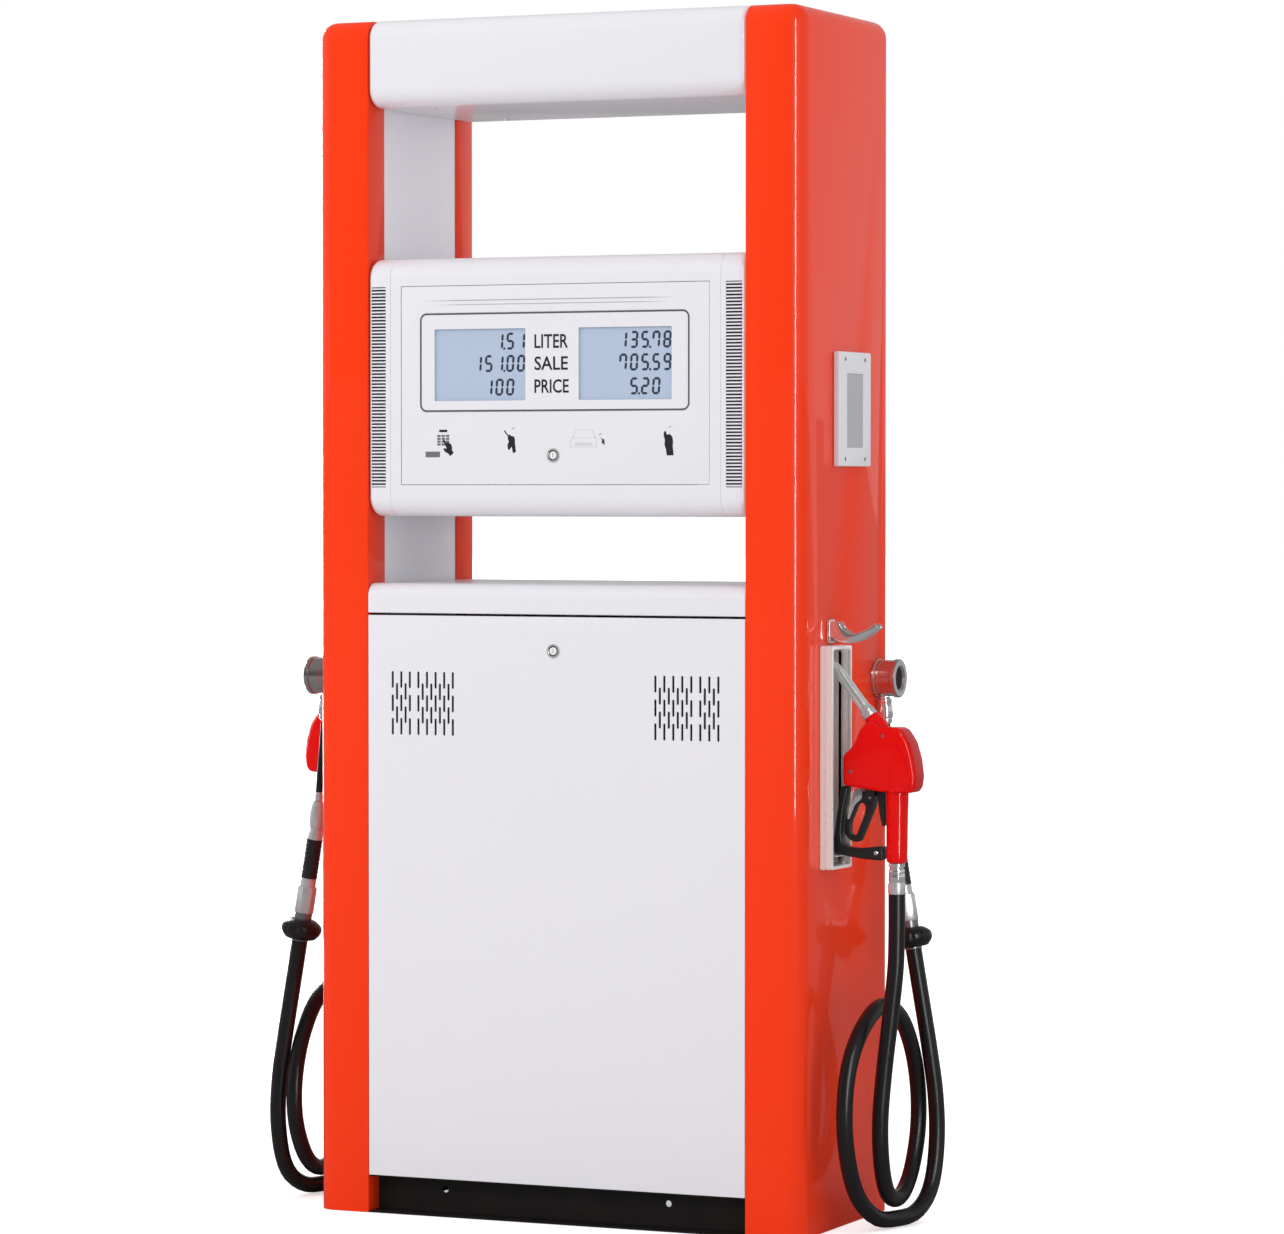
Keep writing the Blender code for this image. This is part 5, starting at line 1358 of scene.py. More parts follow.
def ventPlaces():
    # eight columns of three slots, with columns of two between them and one of those left out
    values = ventValues
    for start, skipped in zip(values["starts"], values["skipped"]):
        for i in range(values["columns"]):
            for k in range(3):
                yield start + values["pitch"] * i, values["low"] + values["rise"] * k
            if i < values["columns"] - 1 and i != skipped:
                for k in range(2):
                    yield start + values["pitch"] * (i + 0.5), values["low"] + values["rise"] * (k + 0.5)


def makeDoor(facing):
    values = {"sheet": 0.002, "edge": 0.0014, "lockHole": 0.0098, "notch": 0.012, "screen": 0.012}
    low, high = lowOf("door_front"), highOf("door_front")
    depth = high.y - low.y
    t = values["sheet"]
    wide, tall = ventValues["halfWidth"], ventValues["halfHeight"]
    slots = newPiece()
    for x, z in ventPlaces():
        outline = roundedRect((x - wide, z - tall), (x + wide, z + tall), wide * 0.98, 4)
        add(slots, plate(outline, "Y", low.y - 0.01, low.y + 0.01))
    lockHeight = highOf("door_lock_front").z - lockRim
    cutters = [block((low.x + t, low.y + t, low.z + t), (high.x - t, high.y + 0.05, high.z - t)),
               block((-values["notch"], low.y + t, high.z - 0.01),
                     (values["notch"], high.y + 0.05, high.z + 0.01)),
               rod(values["lockHole"], (0, low.y - 0.01, lockHeight), (0, low.y + 0.01, lockHeight)), slots]
    piece = newPiece()
    add(piece, carve(panelForm(low, high, depth, values["edge"]), *cutters))
    # a dark sheet of painted shade behind each cluster, seen through the slots, and two stiffeners across the panel
    for start in ventValues["starts"]:
        end = start + ventValues["pitch"] * (ventValues["columns"] - 1)
        margin = values["screen"]
        bottom = ventValues["low"] - tall - margin
        top = ventValues["low"] + 2 * ventValues["rise"] + tall + margin
        add(piece, block((start - margin, low.y + t, bottom), (end + margin, low.y + t + 0.0012, top)), 1)
    for z in (0.30, 0.70):
        rib = plate([(low.y + t, z - 0.025), (low.y + t + 0.010, z - 0.015), (low.y + t + 0.010, z + 0.015),
                     (low.y + t, z + 0.025)], "X", low.x + 0.02, high.x - 0.02)
        add(piece, rib)
    finishPiece("cabinet_door", piece, [whitePaint, shadowGap], "door", facing, f"door_{facing}")


def makePlinth():
    values = {"recess": 0.042, "plate": 0.003, "lip": 0.0055, "floorLip": 0.0015, "anchorX": 0.300,
              "anchor": 0.007, "holes": (-0.240, 0.210), "hole": 0.006, "holeHeight": 0.045,
              "inletX": -0.130, "inlet": 0.0253}
    deck = highOf("base_frame").z
    half, t = columnHigh.y, values["plate"]
    skirt = half - values["recess"]
    box = block((-beamReach, -skirt, 0), (beamReach, skirt, deck - 0.0005), 0.0006, 1, "X")
    cutters = [block((t - beamReach, t - skirt, -0.05), (beamReach - t, skirt - t, deck - t))]
    cutters += [rod(values["hole"], (x, -half, values["holeHeight"]), (x, half, values["holeHeight"]))
                for x in values["holes"]]
    bore = (values["inlet"], (values["inletX"], 0, 0.02), (values["inletX"], 0, 0.1))
    cutters.append(rod(*bore, steps=40))
    piece = newPiece()
    add(piece, carve(box, *cutters))
    top = block((-beamReach, values["lip"] - half, deck - t), (beamReach, half - values["lip"], deck),
                0.0008, 2, "X")
    add(piece, carve(top, rod(*bore, steps=40)))
    foot = half - values["floorLip"]
    for sign in (-1, 1):
        ends = sorted((sign * foot, sign * (skirt - t)))
        strip = block((-beamReach, ends[0], 0), (beamReach, ends[1], t), 0.0006, 1, "X")
        spot = sign * (skirt + values["recess"] / 2)
        holes = [rod(values["anchor"], (x * values["anchorX"], spot, -0.01),
                     (x * values["anchorX"], spot, 0.01)) for x in (-1, 1)]
        add(piece, carve(strip, *holes))
    finishPiece("plinth", piece, [plinthPaint], "base_frame")


for facing in facings:
    makeDoor(facing)
    makeLock("cabinet_lock", "door_lock", facing, 0.024, 0.075)
makePlinth()
print("stage: doors and plinth")


# display: door, printed window, liquid crystal fields and their figures
displayValues = {
    "sheet": 0.002, "edge": 0.0012, "lockHole": 0.0098, "plate": 0.004, "inkDepth": 0.00015,
    "windowLow": (-0.270, 1.4785), "windowHigh": (0.270, 1.6600), "windowCorner": 0.014,
    "fields": ((-0.2400, -0.0560), (0.0505, 0.2345)), "fieldZ": (1.4990, 1.6300),
}
figureValues = {"height": 0.0310, "width": 0.0158, "stroke": 0.0044, "pitch": 0.0218, "lean": 0.07,
                "gap": 0.0002, "rows": (1.6070, 1.5665, 1.5235), "margin": 0.0035}
figures = (("1.51", "151.00", "100 "), ("135.78", "705.59", "5.20 "))
# the seven strokes of a figure: top, upper left, upper right, middle, lower left, lower right, bottom
strokesOf = {"0": "1110111", "1": "0010010", "2": "1011101", "3": "1011011", "5": "1101011", "7": "1110010",
             "8": "1111111", "9": "1111011", " ": "0000000"}


def strokeOutline(start, end, stroke):
    # a bar with pointed ends between two places
    start, end = Vector(start), Vector(end)
    along = (end - start).normalized()
    across = Vector((-along.y, along.x)) * stroke / 2
    start, end = start + along * figureValues["gap"], end - along * figureValues["gap"]
    tip = along * stroke / 2
    return [start, start + tip + across, end - tip + across, end, end - tip - across, start + tip - across]


def figureStrokes(character, right, middle):
    # outlines of one figure's strokes, leaning to the right as it rises
    values = figureValues
    stroke = values["stroke"]
    w, h = values["width"] - stroke, (values["height"] - stroke) / 2
    left = right - values["width"] + stroke / 2
    places = [((0, h), (w, h)), ((0, 0), (0, h)), ((w, 0), (w, h)), ((0, 0), (w, 0)), ((0, -h), (0, 0)),
              ((w, -h), (w, 0)), ((0, -h), (w, -h))]
    for lit, (start, end) in zip(strokesOf[character], places):
        if lit == "1":
            yield [(left + x + (y + h) * values["lean"], middle + y)
                   for x, y in strokeOutline(start, end, stroke)]


def numberOutlines(text, right, middle):
    at = right
    for character in reversed(text):
        if character == ".":
            dot = figureValues["stroke"] * 0.9
            low = middle - figureValues["height"] / 2
            x = at + figureValues["pitch"] - figureValues["width"] - 0.0052
            yield [(x, low), (x + dot, low), (x + dot, low + dot), (x, low + dot)]
        else:
            yield from figureStrokes(character, at, middle)
            at -= figureValues["pitch"]


def wordShape(text, height, left, baseline, width, face, depth):
    # letters as a flat solid that faces -Y, fitted to a width and a cap height
    curve = bpy.data.curves.new("word", "FONT")
    curve.body = text
    curve.extrude = depth / 2
    curve.offset = 0.012
    curve.resolution_u = 3
    holder = bpy.data.objects.new("word", curve)
    bpy.context.scene.collection.objects.link(holder)
    shape = evaluated(holder)
    low = Vector(min(v.co[i] for v in shape.verts) for i in range(3))
    high = Vector(max(v.co[i] for v in shape.verts) for i in range(3))
    bmesh.ops.translate(shape, vec=-low, verts=shape.verts)
    bmesh.ops.scale(shape, vec=(width / (high.x - low.x), height / (high.y - low.y), 1), verts=shape.verts)
    turn = Matrix.Rotation(math.radians(90), 4, "X")
    bmesh.ops.transform(shape, matrix=Matrix.Translation((left, face, baseline)) @ turn, verts=shape.verts)
    return shape


def ink(piece, outline, face, finish, depth=None):
    # a printed shape that stands a hair proud of a face towards -Y
    add(piece, plate(outline, "Y", face - (depth or displayValues["inkDepth"]), face + 0.0001), finish)


def ringOutline(piece, low, high, corner, width, face, finish):
    outer = plate(roundedRect(low, high, corner, 8), "Y", face - displayValues["inkDepth"], face + 0.0001)
    inner = plate(roundedRect((low[0] + width, low[1] + width), (high[0] - width, high[1] - width),
                              corner - width, 8), "Y", face - 0.01, face + 0.01)
    add(piece, carve(outer, inner), finish)


def makeDisplayDoor(facing):
    values = displayValues
    low, high = lowOf("display_door_front"), highOf("display_door_front")
    t = values["sheet"]
    lockHeight = highOf("display_lock_front").z - lockRim
    opening = roundedRect(values["windowLow"], values["windowHigh"], values["windowCorner"], 8)
    cutters = [block((low.x + t, low.y + t, low.z + t), (high.x - t, high.y + 0.05, high.z - t)),
               plate(opening, "Y", low.y - 0.01, low.y + 0.01),
               rod(values["lockHole"], (0, low.y - 0.01, lockHeight), (0, low.y + 0.01, lockHeight))]
    piece = newPiece()
    add(piece, carve(panelForm(low, high, high.y - low.y, values["edge"]), *cutters))
    # two long tapered lines over the window
    for left, right, z, thick in ((-0.262, 0.246, 1.6822, 0.0020), (-0.245, 0.232, 1.6745, 0.0016)):
        outline = [(left, z), (left + 0.07, z - thick / 2), (right - 0.07, z - thick / 2), (right, z),
                   (right - 0.07, z + thick / 2), (left + 0.07, z + thick / 2)]
        ink(piece, outline, low.y, 1)
    finishPiece("display_panel", piece, [whitePaint, lineInk], "display_door", facing, f"display_{facing}")


def makeDisplayWindow(facing):
    values = displayValues
    face = lowOf("display_window_front").y
    low, high = values["windowLow"], values["windowHigh"]
    gap = 0.0004
    outline = roundedRect((low[0] + gap, low[1] + gap), (high[0] - gap, high[1] - gap),
                          values["windowCorner"] - gap, 8)
    cutters = [plate(roundedRect((left, values["fieldZ"][0]), (right, values["fieldZ"][1]), 0.0015, 3), "Y",
                     face - 0.01, face + 0.01) for left, right in values["fields"]]
    piece = newPiece()
    add(piece, carve(plate(outline, "Y", face, face + values["plate"], 0.0003, 1), *cutters))
    inset = 0.0008
    ringOutline(piece, (low[0] + inset, low[1] + inset), (high[0] - inset, high[1] - inset),
                values["windowCorner"] - inset, 0.0030, face, 1)
    words = (("LITER", 0.0672, 1.5935), ("SALE", 0.0668, 1.5535), ("PRICE", 0.0685, 1.5120))
    for text, width, baseline in words:
        add(piece, wordShape(text, 0.0250, -0.0375, baseline, width, face, 0.0003), 2)
    finishPiece("display_plate", piece, [whitePaint, plateInk, printInk], "display_window", facing,
                f"display_{facing}")


def makeDisplayBoard(facing):
    values = displayValues
    boardLow, boardHigh = lowOf("lcd_board_front"), highOf("lcd_board_front")
    front = boardLow.y
    back = boardHigh.y - 0.0026
    piece = newPiece()
    add(piece, block((boardLow.x, back, boardLow.z), (boardHigh.x, boardHigh.y, boardHigh.z), 0.0006, 1, "Y"))
    for (left, right), rows in zip(values["fields"], figures):
        bottom, top = values["fieldZ"]
        add(piece, block((left - 0.004, front + 0.0004, bottom - 0.004),
                         (right + 0.004, back + 0.0003, top + 0.004), 0.001, 2, "Y"), 1)
        add(piece, block((left - 0.0015, front + 0.0001, bottom - 0.0015),
                         (right + 0.0015, front + 0.0012, top + 0.0015)), 2)
        for text, middle in zip(rows, figureValues["rows"]):
            for outline in numberOutlines(text, right - figureValues["margin"], middle):
                ink(piece, outline, front + 0.0001, 3)
    # chips and a connector on the back of the board
    for x, z, w, h in ((-0.18, 1.58, 0.03, 0.012), (-0.05, 1.55, 0.016, 0.016), (0.06, 1.60, 0.024, 0.010),
                       (0.17, 1.53, 0.012, 0.030), (0.21, 1.60, 0.020, 0.020)):
        add(piece, block((x - w / 2, boardHigh.y - 0.0002, z - h / 2),
                         (x + w / 2, boardHigh.y + 0.0024, z + h / 2), 0.0004, 1), 4)
    finishPiece("display_fields", piece, [boardLacquer, satinSteel, lcdField, lcdInk, blackMoulding],
                "lcd_board", facing, f"display_{facing}")


def placed(outline, x, z, size=1.0):
    # an outline given in millimetres round its own middle
    return [(x + px * size / 1000, z + pz * size / 1000) for px, pz in outline]


pointingHand = [(-9, 12), (-6.5, 13.5), (-1.5, 6.5), (0, 7.8), (2.2, 6.8), (3.2, 7.2), (5.2, 5.6), (6.2, 6.0),
                (8.2, 3.4), (9.6, -1.5), (9.4, -6.5), (13.0, -11.0), (6.0, -17.5), (1.5, -12.5), (-4.5, -9.5),
                (-8.2, -4.4), (-6.6, -2.4), (-2.6, -4.0), (-1.6, -2.2)]
pumpNozzle = [(-13, 21), (-11, 22.5), (-4, 13.5), (-1, 14.5), (3.5, 11.5), (8.0, 11.0), (9.5, 6.0),
              (9.8, -3.0), (11.8, -17.0), (5.4, -19.5), (3.0, -7.0), (-1.4, -13.5), (-4.6, -12.0),
              (-5.4, -4.0), (-2.6, 2.0), (-5.0, 7.0), (-4.4, 10.6)]
holsterHand = [(-10, 20), (-6.5, 22.5), (-4.0, 15.5), (1.5, 16.5), (6.5, 12.0), (8.2, 4.0), (7.4, -5.0),
               (9.4, -21.5), (-4.2, -22.0), (-5.8, -11.0), (-8.6, -3.0), (-8.0, 6.0), (-10.2, 13.0)]
dropMark = [(-3.5, -2.0), (0.5, 0.2), (3.8, 2.6), (1.4, -0.9)]


def makePictograms(facing):
    face = lowOf("display_door_front").y
    piece = newPiece()
    # keypad with a pointing hand, and the slot and bar beside it
    x, z = -0.2215, 1.4215
    ink(piece, roundedRect((x - 0.009, z + 0.0205), (x + 0.0075, z + 0.0250), 0.0008, 2), face, 0)
    for row in range(4):
        for column in range(3):
            left, low = x - 0.0132 + column * 0.0088, z - 0.0040 + row * 0.0052
            ink(piece, roundedRect((left, low), (left + 0.0072, low + 0.0040), 0.0006, 2), face, 1)
    ink(piece, placed(pointingHand, x + 0.0075, z - 0.0060), face, 0, 0.0003)
    ink(piece, roundedRect((x - 0.0370, z - 0.0255), (x - 0.0075, z - 0.0150), 0.0010, 2), face, 1)
    # nozzle with a drop
    ink(piece, placed(pumpNozzle, -0.0865, 1.4225), face, 0)
    ink(piece, placed(dropMark, -0.0810, 1.4485), face, 0)
    # outline of a car's tail with a small nozzle
    x, z = 0.0600, 1.4280
    body = [(-26, -15), (-27, -2), (-22, 3), (-17, 15), (-12, 18), (16, 18), (20, 15), (24, 3), (28, -2),
            (27, -15)]
    shell = plate(placed(body, x, z), "Y", face - displayValues["inkDepth"], face + 0.0001)
    inside = plate(placed(body, x, z, 0.93), "Y", face - 0.01, face + 0.01)
    add(piece, carve(shell, inside), 2)
    ink(piece, roundedRect((x - 0.017, z - 0.0125), (x + 0.019, z - 0.0060), 0.0015, 3), face, 2)
    ink(piece, roundedRect((x - 0.025, z + 0.0020), (x + 0.025, z + 0.0030), 0.0004, 2), face, 2)
    ink(piece, placed(pumpNozzle, x + 0.0385, z - 0.0040, 0.34), face, 0)
    ink(piece, placed(dropMark, x + 0.0330, z + 0.0090, 1.1), face, 1)
    # nozzle going back in its boot
    ink(piece, placed(holsterHand, 0.2290, 1.4200), face, 0)
    ink(piece, placed(dropMark, 0.2300, 1.4495), face, 1)
    finishPiece("display_marks", piece, [printInk, greyInk, faintInk], "display_door", facing,
                f"display_{facing}", replacing=False)


for facing in facings:
    makeDisplayDoor(facing)
    makeDisplayWindow(facing)
    makeDisplayBoard(facing)
    makePictograms(facing)
    makeLock("display_cam_lock", "display_lock", facing, 0.020, 0.062)
print("stage: display")


# inside the cabinet: pump, motor, belt drive, pipes, meters and valves
insideValues = {"pumpX": -0.130, "pumpShaft": 0.240, "motorX": 0.190, "motorShaft": 0.210, "shaft": 0.010,
                "meterX": 0.200, "valveHeight": 0.610}


def boltRing(piece, centre, direction, radius, count, size, finish, first=0.0):
    # hexagon heads on washers in a ring round an axis
    turn = Vector(direction).normalized().to_track_quat("Z", "Y")
    for i in range(count):
        angle = math.radians(first) + math.tau * i / count
        spot = Vector(centre) + turn @ Vector((radius * math.cos(angle), radius * math.sin(angle), 0))
        add(piece, lathe([(size * 1.15, 0), (size * 1.15, size * 0.2)], spot, direction, 16), finish)
        add(piece, lathe([(size, 0), (size, size * 0.75), (size * 0.85, size * 0.95)], spot, direction, 6),
            finish)


def makePump():
    values = {"edge": 0.012, "separator": (-0.205, 0.04, 0.050, 0.405), "outlet": (0.030, 0.400),
              "boss": 0.070, "cover": 0.055}
    low = lowOf("pump_unit")
    front, back = -0.100, 0.100
    x, shaftHeight = insideValues["pumpX"], insideValues["pumpShaft"]
    piece = newPiece()
    add(piece, block((low.x, front, low.z), (0.0, back, 0.360), values["edge"], 4))
    # split line with a flanged joint, and ribs down the sides
    add(piece, block((low.x + 0.004, front - 0.003, 0.296), (-0.004, back - 0.004, 0.304), 0.002, 2))
    for at in (-0.225, -0.180, -0.080, -0.035):
        add(piece, block((at - 0.003, front - 0.003, 0.080), (at + 0.003, front + 0.01, 0.150), 0.002, 2))
    sx, sy, radius, top = values["separator"]
    add(piece,
        lathe([(radius, 0), (radius, top - 0.362), (radius - 0.004, top - 0.352), (0.018, top - 0.350)],
              (sx, sy, 0.350), (0, 0, 1), 56))
    boltRing(piece, (sx, sy, 0.4000), (0, 0, 1), 0.034, 6, 0.0042, 1)
    radius, top = values["outlet"]
    add(piece, lathe([(0.022, 0), (0.022, top - 0.364), (radius, top - 0.362), (radius, top - 0.352),
                      (0.026, top - 0.350)], (x, 0, 0.350), (0, 0, 1), 48))
    add(piece, lathe([(values["boss"], 0), (values["boss"], 0.011), (0.060, 0.0145), (0.030, 0.0150)],
                     (x, front + 0.010, shaftHeight), (0, -1, 0), 64))
    boltRing(piece, (x, front - 0.0028, shaftHeight), (0, -1, 0), 0.060, 8, 0.0018, 1)
    add(piece, rod(insideValues["shaft"], (x, front, shaftHeight), (x, low.y, shaftHeight), 0.001, 32), 1)
    add(piece, lathe([(values["cover"], 0), (values["cover"], 0.0015), (0, 0.0030)],
                     (x - 0.02, back - 0.002, 0.170), (0, 1, 0), 48), 2)
    add(piece, block((-0.0006, -0.055, 0.200), (0.0008, 0.045, 0.260), 0.001, 2, "X"), 3)
    finishPiece("pump_casting", piece, [castAlloy, zincSteel, greyPaint, labelField], "pump_unit")


def makeMotor():
    values = {"radius": 0.085, "core": 0.078, "fins": 15, "front": -0.092, "length": 0.250}
    low = lowOf("motor")
    x, height = insideValues["motorX"], insideValues["motorShaft"]
    front, length, core, radius = values["front"], values["length"], values["core"], values["radius"]
    profile = [(0, 0), (0.048, 0), (0.055, 0.012), (radius - 0.003, 0.017), (radius, 0.020),
               (radius, 0.036), (core, 0.038)]
    pitch = (length - 0.104) / values["fins"]
    for i in range(values["fins"]):
        at = 0.044 + pitch * i
        profile += [(core, at), (radius - 0.001, at + 0.0006), (radius - 0.001, at + 0.0030),
                    (core, at + 0.0038)]
    profile += [(core, length - 0.056), (radius, length - 0.054), (radius, length - 0.020),
                (radius - 0.008, length - 0.006), (radius - 0.020, length), (0, length)]
    piece = newPiece()
    add(piece, lathe(profile, (x, front, height), (0, 1, 0), 64))
    for start in (0.040, 0.180):
        foot = block((x - 0.075, front + start, low.z), (x + 0.075, front + start + 0.030, height - 0.050))
        arch = rod(0.030, (x, front + start - 0.01, low.z), (x, front + start + 0.04, low.z), steps=32)
        add(piece, rounded(carve(foot, arch), 60, 0.002, 2))
        for spot in (x - 0.058, x + 0.058):
            boltRing(piece, (spot, front + start + 0.015, low.z + 0.0895), (0, 0, 1), 0.0, 1, 0.005, 1)
    add(piece, block((x - 0.045, front + 0.070, height + 0.050), (x + 0.045, front + 0.170, height + 0.122),
                     0.004, 3))
    add(piece, block((x - 0.043, front + 0.072, height + 0.1215),
                     (x + 0.043, front + 0.168, height + 0.1248), 0.0014, 2))
    boltRing(piece, (x, front + 0.120, height + 0.1205), (0, 0, 1), 0.050, 4, 0.0028, 1, 45)
    add(piece, rod(insideValues["shaft"], (x, front + 0.01, height), (x, low.y, height), 0.001, 32), 1)
    boltRing(piece, (x, front + 0.0165, height), (0, -1, 0), 0.070, 4, 0.0035, 1, 45)
    finishPiece("motor_frame", piece, [motorPaint, zincSteel], "motor")


def makePulley(node, x, height, radius, holes, holeRing, holeRadius):
    values = {"plane": -0.118, "half": 0.010, "groove": 0.0085, "bore": 0.0103, "open": 0.0058,
              "floor": 0.0035}
    half, floor = values["half"], values["floor"]
    ring = lathe([(values["bore"], -half), (0.022, -half), (0.022, -0.006), (radius - 0.018, -0.006),
                  (radius - 0.014, -half), (radius - 0.001, -half), (radius, 0.001 - half),
                  (radius, -values["open"]), (radius - values["groove"], -floor - 0.0012),
                  (radius - values["groove"], floor + 0.0012), (radius, values["open"]),
                  (radius, half - 0.001), (radius - 0.001, half), (radius - 0.014, half),
                  (radius - 0.018, 0.006), (0.022, 0.006), (0.022, half), (values["bore"], half)],
                 (x, values["plane"], height), (0, 1, 0), 72, ring=True)
    cutters = []
    for i in range(holes):
        angle = math.tau * (i + 0.5) / holes
        spot = (x + holeRing * math.cos(angle), height + holeRing * math.sin(angle))
        cutters.append(rod(holeRadius, (spot[0], values["plane"] - 0.02, spot[1]),
                           (spot[0], values["plane"] + 0.02, spot[1])))
    # keyway in the bore
    cutters.append(block((x - 0.002, values["plane"] - 0.02, height + 0.006),
                         (x + 0.002, values["plane"] + 0.02, height + 0.0125)))
    piece = newPiece()
    add(piece, carve(ring, *cutters))
    finishPiece(f"{node}_wheel", piece, [castIron], node, body=node)


def makePipes():
    values = {"feed": 0.017, "feedHeight": 0.500, "meterBottom": 0.5597, "pumpTop": 0.4003,
              "flange": 0.055, "flangeHigh": 0.012, "wall": 0.005, "inlet": 0.025}
    r, z = values["feed"], values["feedHeight"]
    x, reach = insideValues["pumpX"], insideValues["meterX"]
    piece = newPiece()
    bend = roundedPath([(-reach, 0, values["meterBottom"]), (-reach, 0, z), (reach, 0, z),
                        (reach, 0, values["meterBottom"])], 0.030, 8)
    add(piece, curveTube(bend, r, 7))
    add(piece, rod(r, (x, 0, values["pumpTop"]), (x, 0, z), steps=40))
    add(piece, lathe([(0.030, 0), (0.030, 0.008), (0.028, 0.010)], (x, 0, values["pumpTop"]), (0, 0, 1), 48))
    boltRing(piece, (x, 0, values["pumpTop"] + 0.0098), (0, 0, 1), 0.0235, 4, 0.0034, 1, 45)
    # threaded unions: under the meters and round the tee
    for spot in ((-reach, 0, z + 0.034), (reach, 0, z + 0.034)):
        add(piece, rounded(lathe([(0.024, 0), (0.024, 0.018)], spot, (0, 0, 1), 6), 40, 0.001, 1), 1)
    for way in (-1, 1):
        add(piece, lathe([(0.021, 0.012), (0.021, 0.030), (0.0175, 0.032)], (x, 0, z), (way, 0, 0), 40))
    add(piece, lathe([(0.021, 0.012), (0.021, 0.030), (0.0175, 0.032)], (x, 0, z), (0, 0, -1), 40))
    finishPiece("feed_line", piece, [zincSteel, brassMetal], "feed_pipe")

    top = highOf("inlet_pipe").z
    bottom = lowOf("inlet_pipe").z
    bore = values["inlet"] - values["wall"]
    rise = top - bottom
    piece = newPiece()
    add(piece,
        lathe([(bore, 0), (values["flange"] - 0.001, 0), (values["flange"], 0.001),
               (values["flange"], values["flangeHigh"] - 0.001),
               (values["flange"] - 0.001, values["flangeHigh"]),
               (values["inlet"] + 0.003, values["flangeHigh"]),
               (values["inlet"], values["flangeHigh"] + 0.003), (values["inlet"], rise), (bore, rise)],
              (x, 0, bottom), (0, 0, 1), 56, ring=True))
    boltRing(piece, (x, 0, bottom + values["flangeHigh"] - 0.0004), (0, 0, 1), 0.042, 4, 0.006, 1, 45)
    finishPiece("suction_stub", piece, [zincSteel, darkSteel], "inlet_pipe")


def makeMeter(side):
    values = {"bottom": 0.560, "high": 0.100, "radius": 0.062, "arm": 0.085, "armRadius": 0.034,
              "pulser": 0.030, "top": 0.720}
    bottom, high, radius = values["bottom"], values["high"], values["radius"]
    x, middle = insideValues["meterX"], bottom + high / 2
    piece = newPiece()
    add(piece, lathe([(radius - 0.004, 0), (radius, 0.004), (radius, 0.012), (radius - 0.004, 0.016),
                      (radius - 0.004, high - 0.018), (radius, high - 0.014), (radius, high - 0.002),
                      (radius - 0.002, high), (0.030, high + 0.006)], (x, 0, bottom), (0, 0, 1), 64))
    boltRing(piece, (x, 0, bottom + high - 0.0005), (0, 0, 1), 0.052, 8, 0.0030, 1)
    for way in ((1, 0, 0), (-1, 0, 0), (0, 1, 0), (0, -1, 0)):
        add(piece,
            lathe([(values["armRadius"] - 0.006, 0.03),
                   (values["armRadius"] - 0.006, values["arm"] - 0.014),
                   (values["armRadius"], values["arm"] - 0.011),
                   (values["armRadius"], values["arm"] - 0.001),
                   (values["armRadius"] - 0.001, values["arm"])], (x, 0, middle), way, 48))
        spot = Vector((x, 0, middle)) + Vector(way) * (values["arm"] - 0.0145)
        boltRing(piece, spot + Vector(way) * 0.0035, tuple(-c for c in way), 0.0300, 4, 0.0022, 1, 45)
    pulser = values["pulser"]
    add(piece,
        lathe([(pulser, 0), (pulser, values["top"] - bottom - high - 0.008),
               (pulser - 0.004, values["top"] - bottom - high - 0.002),
               (0, values["top"] - bottom - high - 0.001)], (x, 0, bottom + high + 0.001), (0, 0, 1), 56),
        2)
    add(piece, rod(0.0045, (x + 0.016, 0, values["top"] - 0.022), (x + 0.0335, 0, values["top"] - 0.022),
                   0.0008, 24), 1)
    finishPiece("meter_casting", piece, [castAlloy, zincSteel, greyPaint], "flow_meter", side)


def makeValve(side):
    low, high = lowOf("solenoid_valve_right"), highOf("solenoid_valve_right")
    x, middle = (low.x + high.x) / 2, insideValues["valveHeight"]
    piece = newPiece()
    add(piece, block((low.x + 0.010, -0.022, middle - 0.020), (high.x - 0.010, 0.022, middle + 0.020),
                     0.003, 3))
    for start, way in ((low.x, 1), (high.x, -1)):
        collar = lathe([(0.0225, 0), (0.0225, 0.012)], (start, 0, middle), (way, 0, 0), 6)
        add(piece, rounded(collar, 40, 0.001, 1))
    add(piece, lathe([(0.013, 0), (0.013, 0.014), (0.0208, 0.0145), (0.0208, 0.078), (0.0195, 0.080),
                      (0.008, 0.080), (0.008, high.z - middle - 0.0152), (0, high.z - middle - 0.015)],
                     (x, 0, middle + 0.015), (0, 0, 1), 48), 1)
    add(piece, block((x - 0.009, -0.0205, middle + 0.045), (x + 0.009, 0.005, middle + 0.070), 0.002, 2), 1)
    finishPiece("valve_body", piece, [brassMetal, blackMoulding], "solenoid_valve", side)


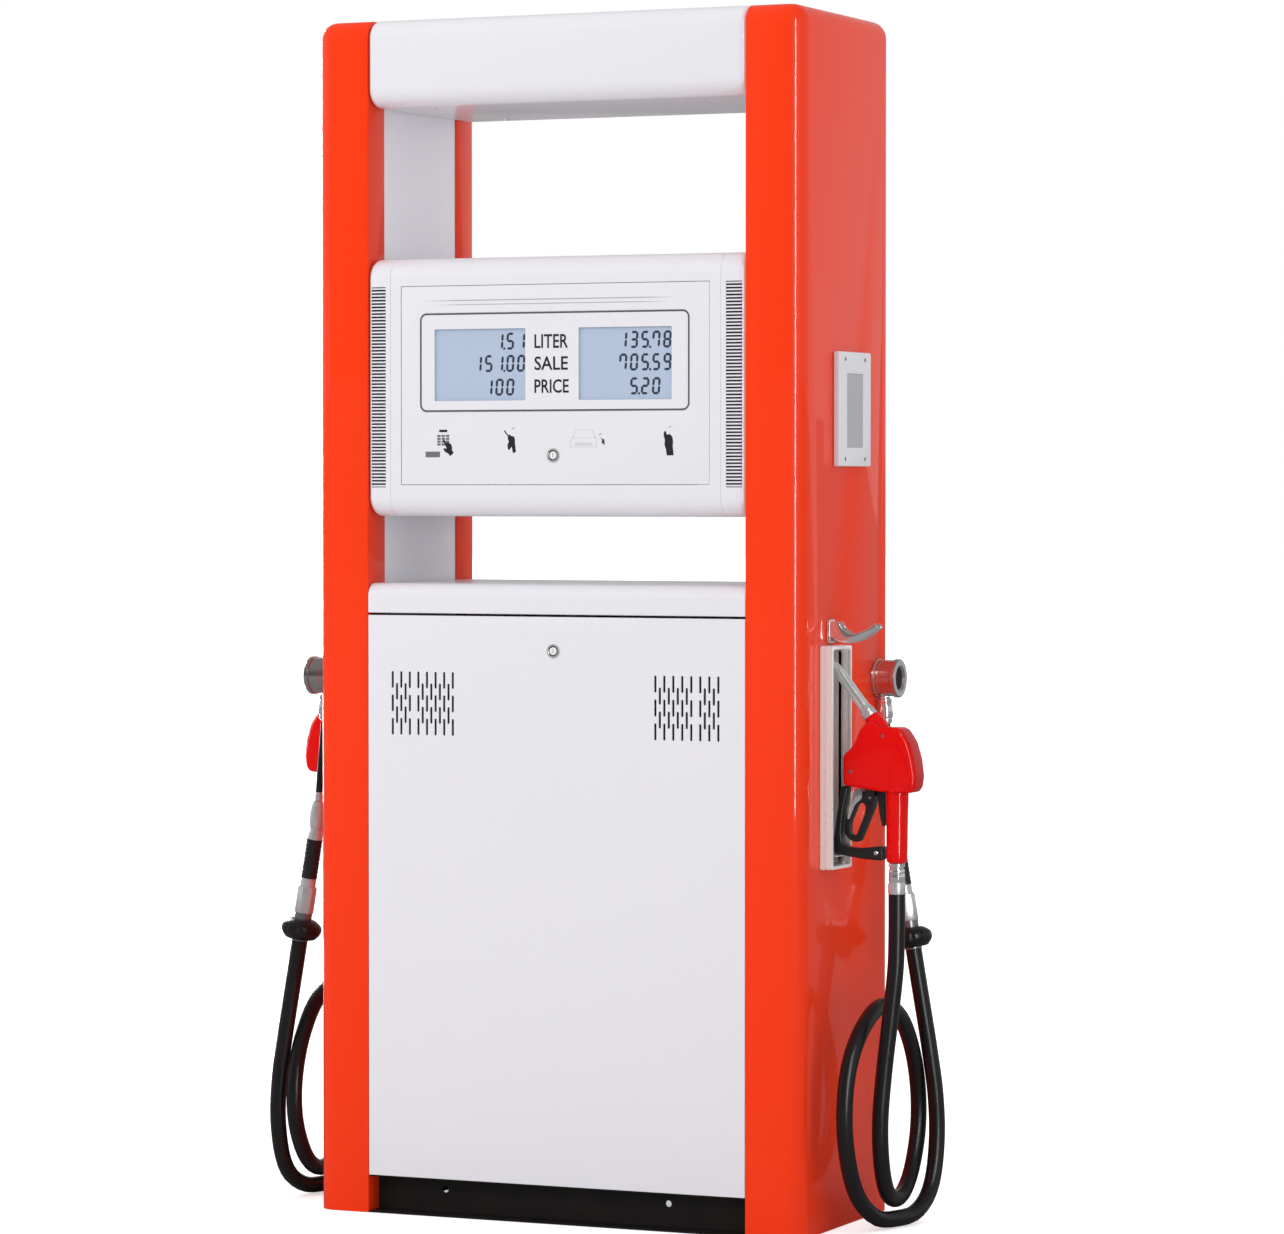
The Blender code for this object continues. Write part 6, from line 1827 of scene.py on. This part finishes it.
def makeOutletPipe(side):
    values = {"radius": 0.0125, "bend": 0.022, "climb": 0.110, "behind": 0.0245}
    start = highOf("solenoid_valve_right").x + 0.0003
    x, middle = columnFace - values["behind"], insideValues["valveHeight"]
    line = roundedPath([(start, 0, middle), (x - 0.008, 0, middle), (x, outletY, middle + values["climb"]),
                        (x, outletY, outletHeight), (columnFace, outletY, outletHeight)],
                       values["bend"], 8)
    piece = newPiece()
    add(piece, curveTube(line, values["radius"], 6))
    nut = lathe([(0.0175, 0), (0.0175, 0.016)], (start, 0, middle), (1, 0, 0), 6)
    add(piece, rounded(nut, 40, 0.0008, 1), 1)
    finishPiece("outlet_line", piece, [zincSteel, brassMetal], "outlet_pipe", side)


def makeControlBox():
    floor = lowOf("control_box").z
    piece = newPiece()
    add(piece, block((-0.160, -0.080, floor), (0.100, 0.080, floor + 0.1095), 0.004, 3, "Z"))
    add(piece, block((-0.1612, -0.0812, floor + 0.096), (0.1012, 0.0812, floor + 0.110), 0.003, 2))
    add(piece, block((-0.120, -0.060, floor + 0.105), (0.060, 0.060, floor + 0.125), 0.003, 3), 1)
    add(piece, block((0.090, -0.050, floor), (0.170, 0.050, floor + 0.070), 0.003, 3), 1)
    for x in (-0.145, 0.085):
        for y in (-0.065, 0.065):
            boltRing(piece, (x, y, floor + 0.1098), (0, 0, 1), 0.0, 1, 0.0040, 2)
    # cable glands along the front and rear
    for i in range(5):
        for sign in (-1, 1):
            spot = (-0.125 + 0.045 * i, sign * 0.0795, floor + 0.035)
            add(piece, lathe([(0.0095, 0), (0.0095, 0.004), (0.0070, 0.005), (0.0070, 0.009)], spot,
                             (0, sign, 0), 6), 3)
    add(piece, block((-0.060, -0.0822, floor + 0.055), (0.030, -0.0800, floor + 0.088), 0.0008, 1, "Y"), 4)
    finishPiece("control_housing", piece, [greyPaint, whitePaint, zincSteel, blackMoulding, labelField],
                "control_box")


makePump()
makeMotor()
makePulley("pump_pulley", insideValues["pumpX"], insideValues["pumpShaft"], 0.100, 5, 0.052, 0.015)
makePulley("motor_pulley", insideValues["motorX"], insideValues["motorShaft"], 0.045, 0, 0.0, 0.0)
paintNode("drive_belt", beltRubber)
makePipes()
for side in columnSides:
    makeMeter(side)
    makeValve(side)
    makeOutletPipe(side)
makeControlBox()
print("stage: inside")

with open("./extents.json", "w") as sizes:
    low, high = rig.bounds()
    json.dump({"cad": [list(cadLow), list(cadHigh)], "visual": [list(low), list(high)]}, sizes)
